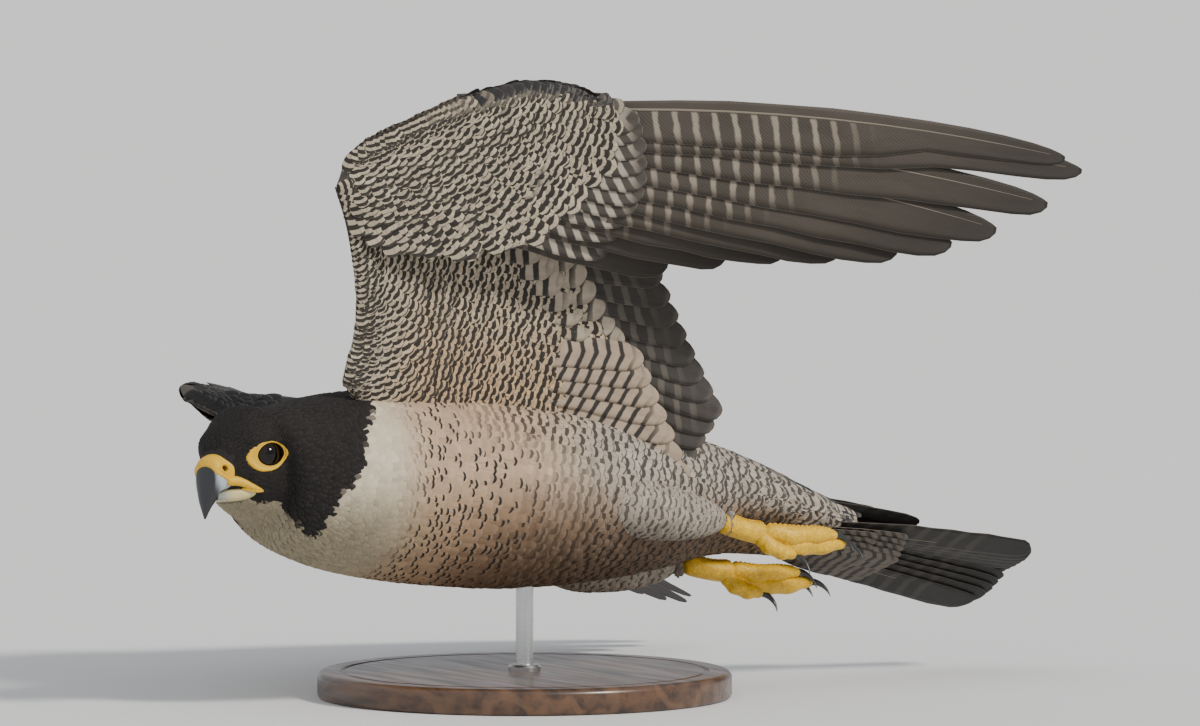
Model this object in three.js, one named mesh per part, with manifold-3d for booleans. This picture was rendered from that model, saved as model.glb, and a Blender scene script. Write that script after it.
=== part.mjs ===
// Peregrine falcon in flight, life size, held over a round display base by one short rod.
// Millimetres, +Z up. The bird heads along -Y, and the origin is the middle of the base's underside.
// The bird is drawn in its own frame (x to its left, y back, z up, origin between its shoulders),
// and the group that holds it pitches and banks it as it flew.

import * as THREE from 'three';
import { mergeVertices } from 'three/addons/utils/BufferGeometryUtils.js';
import Module from 'manifold-3d';

// Gap between pieces that touch
const GAP = 0.3;

// How the bird is held
const PITCH = 11; // degrees, bill up
const BANK = 32.5; // degrees, left wing up
const SHOULDER_HEIGHT = 116;
const CARRIED_AT = [0, 85, -10]; // the point of the body that stays over the base's middle

// Display stand
const BASE_RADIUS = 95;
const BASE_HEIGHT = 12;
const BASE_EDGE = 2.5;
const ROD_RADIUS = 4;
const ROD_IN_BODY = 20;

// Head: where the middle of the eyes lies, and how the head turns against the body (degrees)
const HEAD_AT = [0.6, -67.6, -16];
const HEAD_YAW = 10.6;
const HEAD_NOD = 26.8;
const HEAD_ROLL = 23.6;

// Sections of the face, in the head's frame: y, half width, reach up, reach down
const FACE_SECTIONS = [
  [-18.5, 6.8, 4.2, 13.5],
  [-15, 10.4, 8.6, 17.6],
  [-9, 15.6, 14, 22.5],
  [-2, 19.4, 18.4, 28],
  [6, 23.2, 22.8, 33.2],
];

// Sections of the body, in its own frame: y, z of the middle, half width, reach up, reach down,
// and the share of the head's turn that the section takes
const BODY_SECTIONS = [
  [-54, -20, 26.6, 28.2, 35, 0.78],
  [-36, -20, 34, 36, 39, 0.45],
  [-14, -18, 41, 41, 42.5, 0.15],
  [16, -15, 45, 43, 45, 0],
  [48, -11, 47, 44, 46, 0],
  [84, -7, 47, 42, 45, 0],
  [122, -2, 44, 37, 41, 0],
  [160, 0, 38, 32, 31, 0],
  [200, 2, 29, 25, 17, 0],
  [242, 1, 21, 14, 12, 0],
];
const NECK_FRONT = 5.35; // sections, counted from the bill, at which the body is parted
const NECK_BACK = 7.05;
const SECTION_SIDES = 32;
const SECTION_ROUNDNESS = 2.15;
const HEAD_RINGS = 3; // for each section
const TORSO_RINGS = 2.2;

// Swellings and hollows of the face: x, y, z, spread, height
const FACE_FORMS = [
  [15.5, -6, 8.5, 4.2, 1.6],
  [13.5, -11, 1, 3.6, -1.2],
  [18, -2, 0, 5.5, -0.9],
  [17, 4, -14, 7, 1],
];

// Eyes
const EYE_RADIUS = 8;
const EYE_AT = [13, 2.6, 0.4];
const EYE_TOE_IN = 22; // degrees forward from straight sideways
const LID_RADIUS = 6.5;
const LID_THICKNESS = 1.15;
const LID_STRETCH = 1.22;

// Bill, in the head's frame: culmen y, z, cutting edge y, z, half width
const UPPER_BILL = [
  [-11, 4.2, -9, -10.6, 7.4],
  [-17, 4.2, -14, -11, 8],
  [-22.5, 2.8, -19, -11.2, 7.4],
  [-27, -0.6, -23.5, -11.4, 6.3],
  [-30.6, -5.4, -26.6, -12, 5.1],
  [-33, -11, -29.2, -14.4, 3.7],
  [-34.4, -16.6, -31.9, -17.4, 2.1],
  [-34.7, -21.4, -34.1, -21.2, 0.35],
];
const LOWER_BILL = [
  [-8, -11.8, -8, -18.4, 6.8],
  [-14, -12.1, -14, -19, 6.9],
  [-20, -12.2, -20, -18.4, 6],
  [-24.4, -12.4, -24.6, -16.8, 4.6],
  [-27.6, -13.8, -27.8, -14.8, 1.6],
];
const CERE_TOP = [-28.4, -1]; // the cere ends on a slanting line: y and z of its two ends
const CERE_BOTTOM = [-12, -10];
const GAPE = [[9, -15, -10.8], [11.8, -11.6, -11.8], [13.8, -8.2, -13.6], [15.7, -4.2, -16]];
const GAPE_LIP = 1.2;
const GAPE_LINE = 0.5;
const NOSTRIL = { at: [7.4, -19.6, -3], radius: 1.5, depth: 2.2, pin: 0.5 };

// Wings: each wing's joints in the body's frame, and its bones
const LEFT_WING = { side: 1, shoulder: [32, 0, 0], wrist: [92, -38, 79], toTip: [117, 310, 2] };
const RIGHT_WING = { side: -1, shoulder: [-32, 0, 0], wrist: [-80, -25, 62], toTip: [-93, 308, 6] };
const HAND_CHORD = [-0.577, 0.223, -0.786]; // from the hand's leading edge to its trailing edge
const UPPER_ARM = 75.6;
const FOREARM = 98;
const ARM_CAMBER = 7;
const ARM_CHORD = 200;

// Flesh and small coverts of the arm: outboard, leading edge, trailing edge, thickness
const ARM_SPAN = 99.2; // from shoulder to wrist as the outline has it
const ARM_FLESH = [
  [2, -18, 100, 17],
  [14, -29, 104, 17],
  [36, -28, 94, 15],
  [54, -33, 80, 13],
  [80, -45, 52, 12],
  [97, -56, 24, 10],
];
// Flesh and small coverts of the hand: along it, leading edge, trailing edge, thickness
const HAND_FLESH = [
  [-15, -3, 3, 3],
  [-8, -18, 14, 9],
  [13, -29, 22, 10.5],
  [40, -40, 20, 10],
  [70, -47, 8, 9],
  [94, -43.5, -14, 7],
  [104, -39, -30, 4],
];

// Feathers. A form holds the widths of the outer and inner vane, the tilt between them,
// and the lift off the wing's plane at the root and at the tip.
const VANE_THICKNESS = 0.7;
const PRIMARY = { outer: 6.5, inner: 14, tilt: 0.125, lift: [0, 0] };
const PRIMARY_ROOTS = [[0, -4], [84, -33]]; // innermost and outermost, along the hand and back from it
const PRIMARY_TIPS = [
  [143, 41], [169, 37], [195, 35], [220, 35], [246, 35],
  [271, 32], [292, 26], [316, 15], [332, 0], [324, -6],
];
const PRIMARY_BOW = 8;
const PRIMARY_TWIST = 20; // how far the innermost tip stands off the hand's plane, towards the arm
const PRIMARY_COVERT_COUNT = 7;
const PRIMARY_COVERTS_TO = [98, 106, 112, 112, 108]; // how far along the hand their tips lie
const SECONDARY = { outer: 6, inner: 10, tilt: 0.16, lift: [0, 0] };
const ARM_FEATHER_COUNT = 13; // ten secondaries and three tertials
const SECONDARY_SHARE = 0.76; // share of them that stands between wrist and elbow
const SECONDARY_LENGTHS = [142, 118, 130]; // by the wrist, by the elbow, innermost tertial
const SECONDARY_ANGLES = [2.4, -13.7, -11]; // degrees outboard from straight back
const SECONDARY_TWIST = -9; // how far the outermost tip stands off the arm's plane, towards the hand
const SECONDARY_COVERT_COUNT = 9;
const TWIST_REACH = 0.55; // share of the feathers on each side of the wrist that take part in the twist
// Greater coverts lie along the flight feathers and end short of them
const UNDER_COVERT = { outer: 5.5, inner: 8, tilt: 0.14, lift: [-2.6, -3.6] };
const UPPER_COVERT = { outer: 5.5, inner: 8, tilt: 0.14, lift: [2.6, 3.1] };
const UNDER_SHORT = 44;
const UPPER_SHORT = 62;
const COVERT_LENGTH = 62;
const ALULA = { outer: 4.5, inner: 8, tilt: 0, lift: [4, 2.6] };
const ALULA_PATHS = [[[14, -24], [100, -41]], [[12, -18], [82, -35]]];

// Tail: where it leaves the body, its core, then its feathers from the middle out
const TAIL_ROOT = [0, 242.3, 1];
const TAIL_DROOP = 0.02; // how far it sinks for each millimetre back
const TAIL_LEVEL = -2.8; // the middle of the core against the middle pair of feathers
const TAIL_CORE = [
  [0, 20, 22],
  [14, 19.5, 17],
  [30, 17, 10],
  [48, 13, 4],
];
const TAIL_STEP = 1.05; // from one feather down to the next
const TAIL_COVERTS = { rows: 5, apart: 6.6, length: 50, outer: 6, inner: 6 };
const TAIL_COVERT_LIFTS = [[5, 1.5], [-9.5, -9.2]]; // root and tip, above and below
const TAIL_FEATHERS = [
  { root: 2, tip: 2, length: 109, outer: 6, inner: 8 },
  { root: 4, tip: 6.5, length: 109, outer: 6, inner: 5.8 },
  { root: 6, tip: 11, length: 108.5, outer: 6, inner: 9 },
  { root: 8, tip: 15.4, length: 108, outer: 5.5, inner: 11 },
  { root: 10, tip: 19.4, length: 106.5, outer: 5, inner: 12 },
  { root: 12, tip: 23.2, length: 103.5, outer: 4, inner: 12 },
];

// Legs: the feathered thigh and the foot that trails under the tail, for the left side
const THIGH_PATH = [[22, 96, -18], [26, 122, -21], [25, 148, -21], [22, 178, -18]];
const THIGH_RADII = [9, 15, 13, 7];
const SHANK_PATH = [[21, 176, -18], [20, 190, -20], [19, 202, -19.5]];
const SHANK_RADII = [5.4, 4.8, 5.4];
const TOES = [
  {
    path: [[21, 199, -19.5], [24, 213, -21], [24.5, 227, -18.5], [23.5, 239, -16]],
    radii: [4.4, 4.4, 3.8, 2.6],
  },
  {
    path: [[20, 200, -20], [20, 217, -23.5], [20, 233, -20.5], [19.5, 246, -17]],
    radii: [4.6, 4.6, 3.9, 2.6],
  },
  {
    path: [[18.5, 199, -18.5], [16, 212, -20.5], [15, 225, -18], [15.5, 237, -15.5]],
    radii: [4.3, 4.3, 3.6, 2.5],
  },
  { path: [[20, 197, -22], [20, 206, -27.5], [19.5, 217, -28]], radii: [4, 3.8, 2.7] },
];
const FAR_FOOT = [0, 6, 1.5]; // how far the right foot trails behind the left one
const CLAW_LENGTH = 13;
const CLAW_RADIUS = 1.9;
const CLAW_BEND = 95; // degrees

const COLOURS = {
  hood: 0x2a2724,
  breast: 0xcbb9a4,
  belly: 0xa89f96,
  wing: 0x6d655d,
  tail: 0x3a3733,
  bill: 0x4a5058,
  cere: 0xe8b51c,
  eye: 0x120b07,
  foot: 0xe6a516,
  claw: 0x161412,
  base: 0x3b2a1e,
  rod: 0x8d9094,
};

const wasm = await Module();
wasm.setup();

const turn = THREE.MathUtils.degToRad;
const point = (values) => new THREE.Vector3(...values);

// The solid of a closed surface given as points and triangles, turned inside out where it needs it
function solid(points, faces) {
  let volume = 0;
  for (let i = 0; i < faces.length; i += 3) {
    const [a, b, c] = [points[faces[i]], points[faces[i + 1]], points[faces[i + 2]]];
    volume += a.dot(new THREE.Vector3().crossVectors(b, c));
  }
  const triVerts = Uint32Array.from(faces);
  if (volume < 0) triVerts.reverse();
  const vertProperties = Float32Array.from(points.flatMap((p) => [p.x, p.y, p.z]));
  return new wasm.Manifold(new wasm.Mesh({ numProp: 3, vertProperties, triVerts }));
}

// The solid of a three.js shape, moved by a matrix
function shapeSolid(geometry, matrix = new THREE.Matrix4()) {
  geometry.deleteAttribute('normal');
  geometry.deleteAttribute('uv');
  const merged = mergeVertices(geometry, 1e-3).applyMatrix4(matrix);
  const place = merged.getAttribute('position');
  const pointAt = (_, i) => new THREE.Vector3().fromBufferAttribute(place, i);
  const points = Array.from({ length: place.count }, pointAt);
  const faces = Array.from(merged.index.array);
  const whole = [];
  for (let i = 0; i < faces.length; i += 3) {
    const corners = faces.slice(i, i + 3);
    if (new Set(corners).size === 3) whole.push(...corners);
  }
  return solid(points, whole);
}

// Closed surface through rings of points, with a fan over each end
function loft(rings) {
  const sides = rings[0].length;
  const points = rings.flat();
  const faces = [];
  for (let r = 0; r < rings.length - 1; r++) {
    for (let i = 0; i < sides; i++) {
      const here = r * sides + i;
      const beside = r * sides + ((i + 1) % sides);
      faces.push(here, beside, beside + sides, here, beside + sides, here + sides);
    }
  }
  for (const [start, first, second] of [[0, 1, 0], [(rings.length - 1) * sides, 0, 1]]) {
    const hub = points.length;
    const middle = new THREE.Vector3();
    for (let i = 0; i < sides; i++) middle.addScaledVector(points[start + i], 1 / sides);
    points.push(middle);
    for (let i = 0; i < sides; i++) {
      faces.push(hub, start + ((i + first) % sides), start + ((i + second) % sides));
    }
  }
  return solid(points, faces);
}

// A rounded limb along a path, with a radius at each of its points, closed over both ends
function limb(path, radii, { sides = 10, rings = 9, flat = 1, grow = 0 } = {}) {
  const curve = new THREE.CatmullRomCurve3(path.map(point));
  const thickness = new THREE.CatmullRomCurve3(radii.map((radius, i) => new THREE.Vector3(radius, i, 0)));
  const across = new THREE.Vector3(1, 0, 0);
  const around = [];
  for (let k = 0; k <= rings; k++) {
    const t = k / rings;
    const along = curve.getTangent(t);
    const up = new THREE.Vector3().crossVectors(across, along).normalize();
    const side = new THREE.Vector3().crossVectors(along, up).normalize();
    const end = Math.sqrt(Math.max(0.02, 1 - Math.pow(Math.abs(2 * t - 1), 8)));
    const radius = thickness.getPoint(t).x * end + grow;
    around.push(Array.from({ length: sides }, (_, i) => {
      const angle = (i / sides) * Math.PI * 2;
      return curve.getPoint(t)
        .addScaledVector(side, radius * Math.cos(angle))
        .addScaledVector(up, radius * flat * Math.sin(angle));
    }));
  }
  return loft(around);
}

const join = (solids) => wasm.Manifold.union(solids);

// The largest of the closed surfaces of a solid
function largest(whole) {
  return whole.decompose().reduce((best, next) => (next.volume() > best.volume() ? next : best));
}

function mesh(name, whole, colour, { roughness = 0.8, metalness = 0 } = {}) {
  const { vertProperties, triVerts } = largest(whole).getMesh();
  const geometry = new THREE.BufferGeometry();
  geometry.setAttribute('position', new THREE.BufferAttribute(vertProperties, 3));
  geometry.setIndex(new THREE.BufferAttribute(triVerts, 1));
  geometry.computeVertexNormals();
  const material = new THREE.MeshStandardMaterial({ color: colour, roughness, metalness });
  const piece = new THREE.Mesh(geometry, material);
  piece.name = name;
  return piece;
}

// Body: one surface from the bill's base to the tail's root
const headTurn = new THREE.Quaternion().setFromEuler(
  new THREE.Euler(turn(HEAD_NOD), turn(HEAD_ROLL), turn(HEAD_YAW), 'ZXY'),
);
const headMatrix = new THREE.Matrix4().compose(point(HEAD_AT), headTurn, new THREE.Vector3(1, 1, 1));
const bodyToHead = headMatrix.clone().invert();
const straight = new THREE.Quaternion();

const sections = [
  ...FACE_SECTIONS.map(([y, half, up, down]) => ({
    middle: new THREE.Vector3(0, y, 0).applyMatrix4(headMatrix),
    reach: new THREE.Vector3(half, up, down),
    share: 1,
  })),
  ...BODY_SECTIONS.map(([y, z, half, up, down, share]) => ({
    middle: new THREE.Vector3(0, y, z),
    reach: new THREE.Vector3(half, up, down),
    share,
  })),
];
const smooth = (points) => new THREE.CatmullRomCurve3(points, false, 'catmullrom');
const middles = smooth(sections.map((section) => section.middle));
const reaches = smooth(sections.map((section) => section.reach));
const shares = smooth(sections.map((section, i) => new THREE.Vector3(section.share, i, 0)));
const lastSection = sections.length - 1;

function faceForm(place) {
  const local = place.clone().applyMatrix4(bodyToHead);
  let height = 0;
  for (const [x, y, z, spread, swell] of FACE_FORMS) {
    const away = local.distanceToSquared(new THREE.Vector3(Math.sign(local.x) * x, y, z));
    height += swell * Math.exp(-away / (2 * spread * spread));
  }
  return height;
}

function bodyRing(count, grow = 0) {
  const t = THREE.MathUtils.clamp(count / lastSection, 0, 1);
  const middle = middles.getPoint(t);
  const reach = reaches.getPoint(t);
  const facing = straight.clone().slerp(headTurn, THREE.MathUtils.clamp(shares.getPoint(t).x, 0, 1));
  return Array.from({ length: SECTION_SIDES }, (_, i) => {
    const angle = (i / SECTION_SIDES) * Math.PI * 2;
    const rounded = (value) => Math.sign(value) * Math.pow(Math.abs(value), 2 / SECTION_ROUNDNESS);
    const wide = rounded(Math.cos(angle)) * (reach.x + grow);
    const sine = rounded(Math.sin(angle));
    const high = sine * ((sine > 0 ? reach.y : reach.z) + grow);
    const radial = new THREE.Vector3(wide, 0, high).applyQuaternion(facing);
    const place = middle.clone().add(radial);
    return place.addScaledVector(radial.normalize(), faceForm(place));
  });
}

function bodySolid(from, to, grow = 0, rings = TORSO_RINGS) {
  const count = Math.ceil((to - from) * rings);
  return loft(Array.from({ length: count + 1 }, (_, i) => bodyRing(from + ((to - from) * i) / count, grow)));
}

// How many sections a distance along the body comes to
function sectionsIn(distance, at) {
  const step = 0.01;
  const near = middles.getPoint(at / lastSection);
  return (distance * step) / near.distanceTo(middles.getPoint((at + step) / lastSection));
}

const torsoFrom = NECK_BACK + sectionsIn(GAP, NECK_BACK);
const neckFrom = NECK_FRONT + sectionsIn(GAP, NECK_FRONT);

// A frame of a wing's plane: out along one way, back along the other, n on its upper side
function wingPlane(origin, out, back, side) {
  const up = new THREE.Vector3().crossVectors(out, back).multiplyScalar(side);
  return (u, v, n) => origin.clone().addScaledVector(out, u).addScaledVector(back, v).addScaledVector(up, n);
}

// A lens-shaped blade through stations of place along it, leading edge, trailing edge and thickness
function blade(plane, stations, { camber = () => 0, grow = 0, rings = 10, slices = 4 } = {}) {
  const shape = smooth(stations.map(([u, lead, trail]) => new THREE.Vector3(u, lead, trail)));
  const depth = smooth(stations.map(([u, , , thick]) => new THREE.Vector3(u, thick, 0)));
  const edge = 0.5;
  return loft(Array.from({ length: rings + 1 }, (_, k) => {
    const { x: u, y: lead, z: trail } = shape.getPoint(k / rings);
    const thick = depth.getPoint(k / rings).y;
    const ring = [];
    for (let j = 0; j <= 2 * slices + 1; j++) {
      const upper = j <= slices;
      const s = (upper ? j : 2 * slices + 1 - j) / slices;
      const half = edge + thick * Math.sqrt(s * (1 - s)) * (1 - 0.35 * s) + grow;
      const v = lead - grow + (trail - lead + 2 * grow) * s;
      ring.push(plane(u, v, camber(v) + (upper ? half : -half)));
    }
    return ring;
  }));
}

// Stations along a vane: share of its length, share of its width
const VANE_OUTLINE = [[0, 0.6], [0.36, 0.92], [0.72, 1], [0.93, 0.74], [1, 0.22]];
const COVERT_OUTLINE = [[0, 0.7], [0.74, 1], [1, 0.3]];

// A thin feather along a bowed shaft, tilted so that its outer edge lies higher than its inner one,
// and lifted towards its tip by the twist. Both faces are parted into the same triangles.
function vane(plane, root, tip, form, options = {}) {
  const { bow = 0, twist = 0, outerWay = 1, outline = VANE_OUTLINE, grow = 0 } = options;
  const from = new THREE.Vector2(...root);
  const along = new THREE.Vector2(...tip).sub(from);
  const outward = new THREE.Vector2(along.y, -along.x).normalize().multiplyScalar(outerWay);
  const length = along.length();
  const half = VANE_THICKNESS / 2 + grow;
  const points = [];
  for (const [share, width] of outline) {
    const reach = share + (share === 1 ? grow / length : 0);
    const middle = from.clone().addScaledVector(along, reach);
    middle.addScaledVector(outward, bow * 4 * share * (1 - share));
    const lift = THREE.MathUtils.lerp(...form.lift, share) + twist * share * share;
    for (const across of [form.outer * width + grow, -form.inner * width - grow]) {
      const edge = middle.clone().addScaledVector(outward, across);
      const level = lift + form.tilt * across;
      points.push(plane(edge.x, edge.y, level + half), plane(edge.x, edge.y, level - half));
    }
  }
  // Each station holds four points: outer top, outer under, inner top, inner under
  const faces = [0, 2, 1, 2, 3, 1];
  const last = (outline.length - 1) * 4;
  for (let k = 0; k < last; k += 4) {
    faces.push(k, k + 4, k + 6, k, k + 6, k + 2);
    faces.push(k + 1, k + 7, k + 5, k + 1, k + 3, k + 7);
    faces.push(k, k + 1, k + 5, k, k + 5, k + 4);
    faces.push(k + 2, k + 6, k + 7, k + 2, k + 7, k + 3);
  }
  faces.push(last, last + 1, last + 2, last + 2, last + 1, last + 3);
  return solid(points, faces);
}

const armCamber = (v) => ARM_CAMBER * (1 - Math.pow((2 * v) / ARM_CHORD - 0.4, 2));
const between = (values, share) => {
  const place = share * (values.length - 1);
  const index = Math.min(Math.floor(place), values.length - 2);
  return THREE.MathUtils.lerp(values[index], values[index + 1], place - index);
};

// Where the elbow lies in the arm's plane, from the bones' lengths
function elbowPlace(wristOut, wristBack) {
  const reach = Math.hypot(wristOut, wristBack);
  const along = (UPPER_ARM ** 2 - FOREARM ** 2 + reach ** 2) / (2 * reach);
  const off = Math.sqrt(UPPER_ARM ** 2 - along ** 2);
  return [(wristOut * along - wristBack * off) / reach, (wristBack * along + wristOut * off) / reach];
}

// A flight feather of the arm as its root and tip in the arm's plane, for a share of the way
// from the wrist in to the body
function armFeather(share, wristOut, wristBack) {
  const [elbowOut, elbowBack] = elbowPlace(wristOut, wristBack);
  const secondary = Math.min(share / SECONDARY_SHARE, 1);
  const tertial = Math.max(0, share - SECONDARY_SHARE) / (1 - SECONDARY_SHARE);
  const inward = 1 - 0.42 * tertial;
  const out = THREE.MathUtils.lerp(wristOut, elbowOut, secondary) * inward;
  const back = THREE.MathUtils.lerp(wristBack, elbowBack, secondary) * inward;
  const place = (secondary + tertial) / 2;
  const length = between(SECONDARY_LENGTHS, place);
  const angle = turn(between(SECONDARY_ANGLES, place));
  const tip = [out + length * Math.sin(angle), back + length * Math.cos(angle)];
  return { root: [out, back], tip, length };
}

// A flight feather of the hand, for a share of the way from the innermost to the outermost
function handFeather(share) {
  const [root, tip] = [PRIMARY_ROOTS, PRIMARY_TIPS].map((places) => [0, 1].map(
    (axis) => between(places.map((place) => place[axis]), share),
  ));
  const end = (between(PRIMARY_COVERTS_TO, share) - root[0]) / (tip[0] - root[0]);
  return { root, tip, bow: PRIMARY_BOW * (0.4 + 0.6 * share), end };
}

function spread(count, first = 0) {
  return Array.from({ length: count }, (_, i) => (i + first) / (count - 1 + first));
}

// The covert that lies along a flight feather, and ends at a share of its length
function covert(plane, root, tip, endShare, form, options) {
  const along = new THREE.Vector2(...tip).sub(new THREE.Vector2(...root));
  const startShare = endShare - COVERT_LENGTH / along.length();
  const pointAt = (share) => [root[0] + along.x * share, root[1] + along.y * share];
  const [start, end] = [startShare, endShare].map(pointAt);
  const twist = (options.twist ?? 0) * Math.max(0, endShare) ** 2;
  return vane(plane, start, end, form, { ...options, twist, bow: 0, outline: COVERT_OUTLINE });
}

const twistShare = (share) => Math.max(0, 1 - share / TWIST_REACH) ** 1.5;

function armSolid(plane, wristOut, wristBack, grow = 0) {
  const swept = wristBack - LEFT_WING.wrist[1];
  const flesh = ARM_FLESH.map(([u, lead, trail, thick]) => {
    const share = u / ARM_SPAN;
    return [share * wristOut, lead + swept * share, trail + swept * share, thick];
  });
  const cambered = (u, v, n) => plane(u, v, n + armCamber(v));
  const pieces = [blade(cambered, flesh, { grow })];
  const optionsAt = (share) => ({ bow: 3, twist: SECONDARY_TWIST * twistShare(share), grow });
  for (const share of spread(ARM_FEATHER_COUNT, 0.3)) {
    const { root, tip } = armFeather(share, wristOut, wristBack);
    pieces.push(vane(cambered, root, tip, SECONDARY, optionsAt(share)));
  }
  for (const share of spread(SECONDARY_COVERT_COUNT, 0.3)) {
    const { root, tip, length } = armFeather(share, wristOut, wristBack);
    pieces.push(covert(cambered, root, tip, 1 - UNDER_SHORT / length, UNDER_COVERT, optionsAt(share)));
    pieces.push(covert(cambered, root, tip, 1 - UPPER_SHORT / length, UPPER_COVERT, optionsAt(share)));
  }
  return join(pieces);
}

function handSolid(plane) {
  const pieces = [blade(plane, HAND_FLESH, { rings: 9 })];
  for (const share of spread(PRIMARY_TIPS.length)) {
    const { root, tip, bow } = handFeather(share);
    pieces.push(vane(plane, root, tip, PRIMARY, { bow, twist: PRIMARY_TWIST * twistShare(share) }));
  }
  for (const share of spread(PRIMARY_COVERT_COUNT)) {
    const { root, tip, end } = handFeather(share);
    const options = { twist: PRIMARY_TWIST * twistShare(share) };
    pieces.push(covert(plane, root, tip, end, UNDER_COVERT, options));
    pieces.push(covert(plane, root, tip, end * 0.9, UPPER_COVERT, options));
  }
  for (const [start, end] of ALULA_PATHS) {
    pieces.push(vane(plane, start, end, ALULA, { bow: 5 }));
  }
  return join(pieces);
}

function wing({ side, shoulder, wrist, toTip }) {
  const reach = point(wrist).sub(point(shoulder));
  const outward = new THREE.Vector3(reach.x, 0, reach.z).normalize();
  const backward = new THREE.Vector3(0, 1, 0);
  const arm = wingPlane(point(shoulder), outward, backward, side);
  const along = point(toTip).normalize();
  const chord = point(HAND_CHORD).multiply(new THREE.Vector3(side, 1, 1));
  chord.addScaledVector(along, -chord.dot(along)).normalize();
  const hand = wingPlane(point(wrist), along, chord, side);
  const wristOut = reach.dot(outward);
  const body = bodySolid(NECK_BACK - 1, lastSection, GAP);
  return {
    arm: armSolid(arm, wristOut, reach.y).subtract(body),
    hand: handSolid(hand).subtract(join([armSolid(arm, wristOut, reach.y, GAP), body])),
  };
}

function tailSolid() {
  const plane = (u, v, n) => point(TAIL_ROOT).add(new THREE.Vector3(v, u, n - TAIL_DROOP * u));
  const core = TAIL_CORE.map(([u, half, thick]) => [u, -half, half, thick]);
  const pieces = [blade((u, v, n) => plane(u, v, n + TAIL_LEVEL), core, { rings: 5 })];
  TAIL_FEATHERS.forEach(({ root, tip, length, outer, inner }, i) => {
    for (const side of [1, -1]) {
      const level = i === 0 && side < 0 ? 0 : -TAIL_STEP * (i + 1);
      const form = { outer, inner, tilt: 0, lift: [level, level] };
      pieces.push(vane(plane, [6, side * root], [length, side * tip], form, { outerWay: side }));
    }
  });
  const { rows, apart, length, outer, inner } = TAIL_COVERTS;
  for (const lift of TAIL_COVERT_LIFTS) {
    for (let k = 0; k < rows; k++) {
      const across = k - (rows - 1) / 2;
      const form = { outer, inner, tilt: 0.12 * Math.sign(across), lift };
      const tip = [length - 2.5 * Math.abs(across), across * apart];
      pieces.push(vane(plane, [4, across * apart * 0.8], tip, form, { outline: COVERT_OUTLINE }));
    }
  }
  return join(pieces);
}

// Head and its pieces, in the head's frame
const headLoft = bodySolid(0, NECK_FRONT, 0, HEAD_RINGS).transform(bodyToHead.toArray());

function eyeWay(side) {
  return new THREE.Vector3(side * Math.cos(turn(EYE_TOE_IN)), -Math.sin(turn(EYE_TOE_IN)), 0);
}

function eyeBall(side, grow = 0) {
  const place = new THREE.Matrix4().makeTranslation(side * EYE_AT[0], EYE_AT[1], EYE_AT[2]);
  return shapeSolid(new THREE.SphereGeometry(EYE_RADIUS + grow, 12, 8), place);
}

function lids(side) {
  const rise = Math.sqrt(EYE_RADIUS ** 2 - LID_RADIUS ** 2) + LID_THICKNESS * 0.4;
  const middle = new THREE.Vector3(side * EYE_AT[0], EYE_AT[1], EYE_AT[2]);
  middle.addScaledVector(eyeWay(side), rise);
  const facing = new THREE.Quaternion().setFromUnitVectors(new THREE.Vector3(0, 0, 1), eyeWay(side));
  const ring = new THREE.TorusGeometry(LID_RADIUS, LID_THICKNESS, 6, 20);
  const matrix = new THREE.Matrix4().compose(middle, facing, new THREE.Vector3(LID_STRETCH, 1, 1));
  return shapeSolid(ring, matrix);
}

// The corner of the mouth runs back along the cheek: a lip with the mouth's line cut into it
function gape(side, radius, out = 0) {
  const path = GAPE.map(([x, y, z]) => [side * (x + out), y, z]);
  return limb(path, [radius, radius, radius * 0.9, radius * 0.6], { sides: 6, rings: 6 });
}

function billSolid(outline, grow = 0, sides = 14) {
  const rings = outline.map(([topY, topZ, edgeY, edgeZ, half], k) => {
    const top = new THREE.Vector3(0, topY, topZ);
    const edge = new THREE.Vector3(0, edgeY, edgeZ);
    const middle = top.clone().add(edge).multiplyScalar(0.5);
    const rise = top.clone().sub(edge).multiplyScalar(0.5);
    rise.setLength(rise.length() + grow * 1.2);
    middle.y += k === 0 ? grow : -grow;
    return Array.from({ length: sides }, (_, i) => {
      const angle = (i / sides) * Math.PI * 2;
      return middle.clone()
        .addScaledVector(rise, Math.sin(angle))
        .add(new THREE.Vector3((half + grow * 1.2) * Math.cos(angle), 0, 0));
    });
  });
  return loft(rings);
}

// A block whose flat face passes through two points of the head's middle plane
function blockAhead(top, bottom, back = 0) {
  const size = 80;
  const slope = Math.atan2(top[0] - bottom[0], top[1] - bottom[1]);
  const matrix = new THREE.Matrix4()
    .makeRotationX(-slope)
    .setPosition(0, (top[0] + bottom[0]) / 2, (top[1] + bottom[1]) / 2);
  const box = new THREE.BoxGeometry(size, size, size).translate(0, back - size / 2, 0);
  return shapeSolid(box, matrix);
}

function nostril(side) {
  const [x, y, z] = NOSTRIL.at;
  const matrix = new THREE.Matrix4()
    .makeRotationZ(side * -turn(72))
    .setPosition(side * x, y, z);
  const { radius, depth, pin: pinRadius } = NOSTRIL;
  const hole = shapeSolid(new THREE.CylinderGeometry(radius, radius, depth * 2, 12), matrix);
  const pin = shapeSolid(new THREE.CylinderGeometry(pinRadius, pinRadius, depth * 3, 6), matrix);
  return hole.subtract(pin);
}

const upperBill = billSolid(UPPER_BILL);
const lowerBill = billSolid(LOWER_BILL);
const beyondCere = blockAhead(CERE_TOP, CERE_BOTTOM);
const beyondCereGap = blockAhead(CERE_TOP, CERE_BOTTOM, GAP);
const headFlesh = join([headLoft, lids(1), lids(-1), gape(1, GAPE_LIP), gape(-1, GAPE_LIP)])
  .subtract(join([eyeBall(1, GAP), eyeBall(-1, GAP), gape(1, GAPE_LINE, 1.3), gape(-1, GAPE_LINE, 1.3)]));

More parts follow.
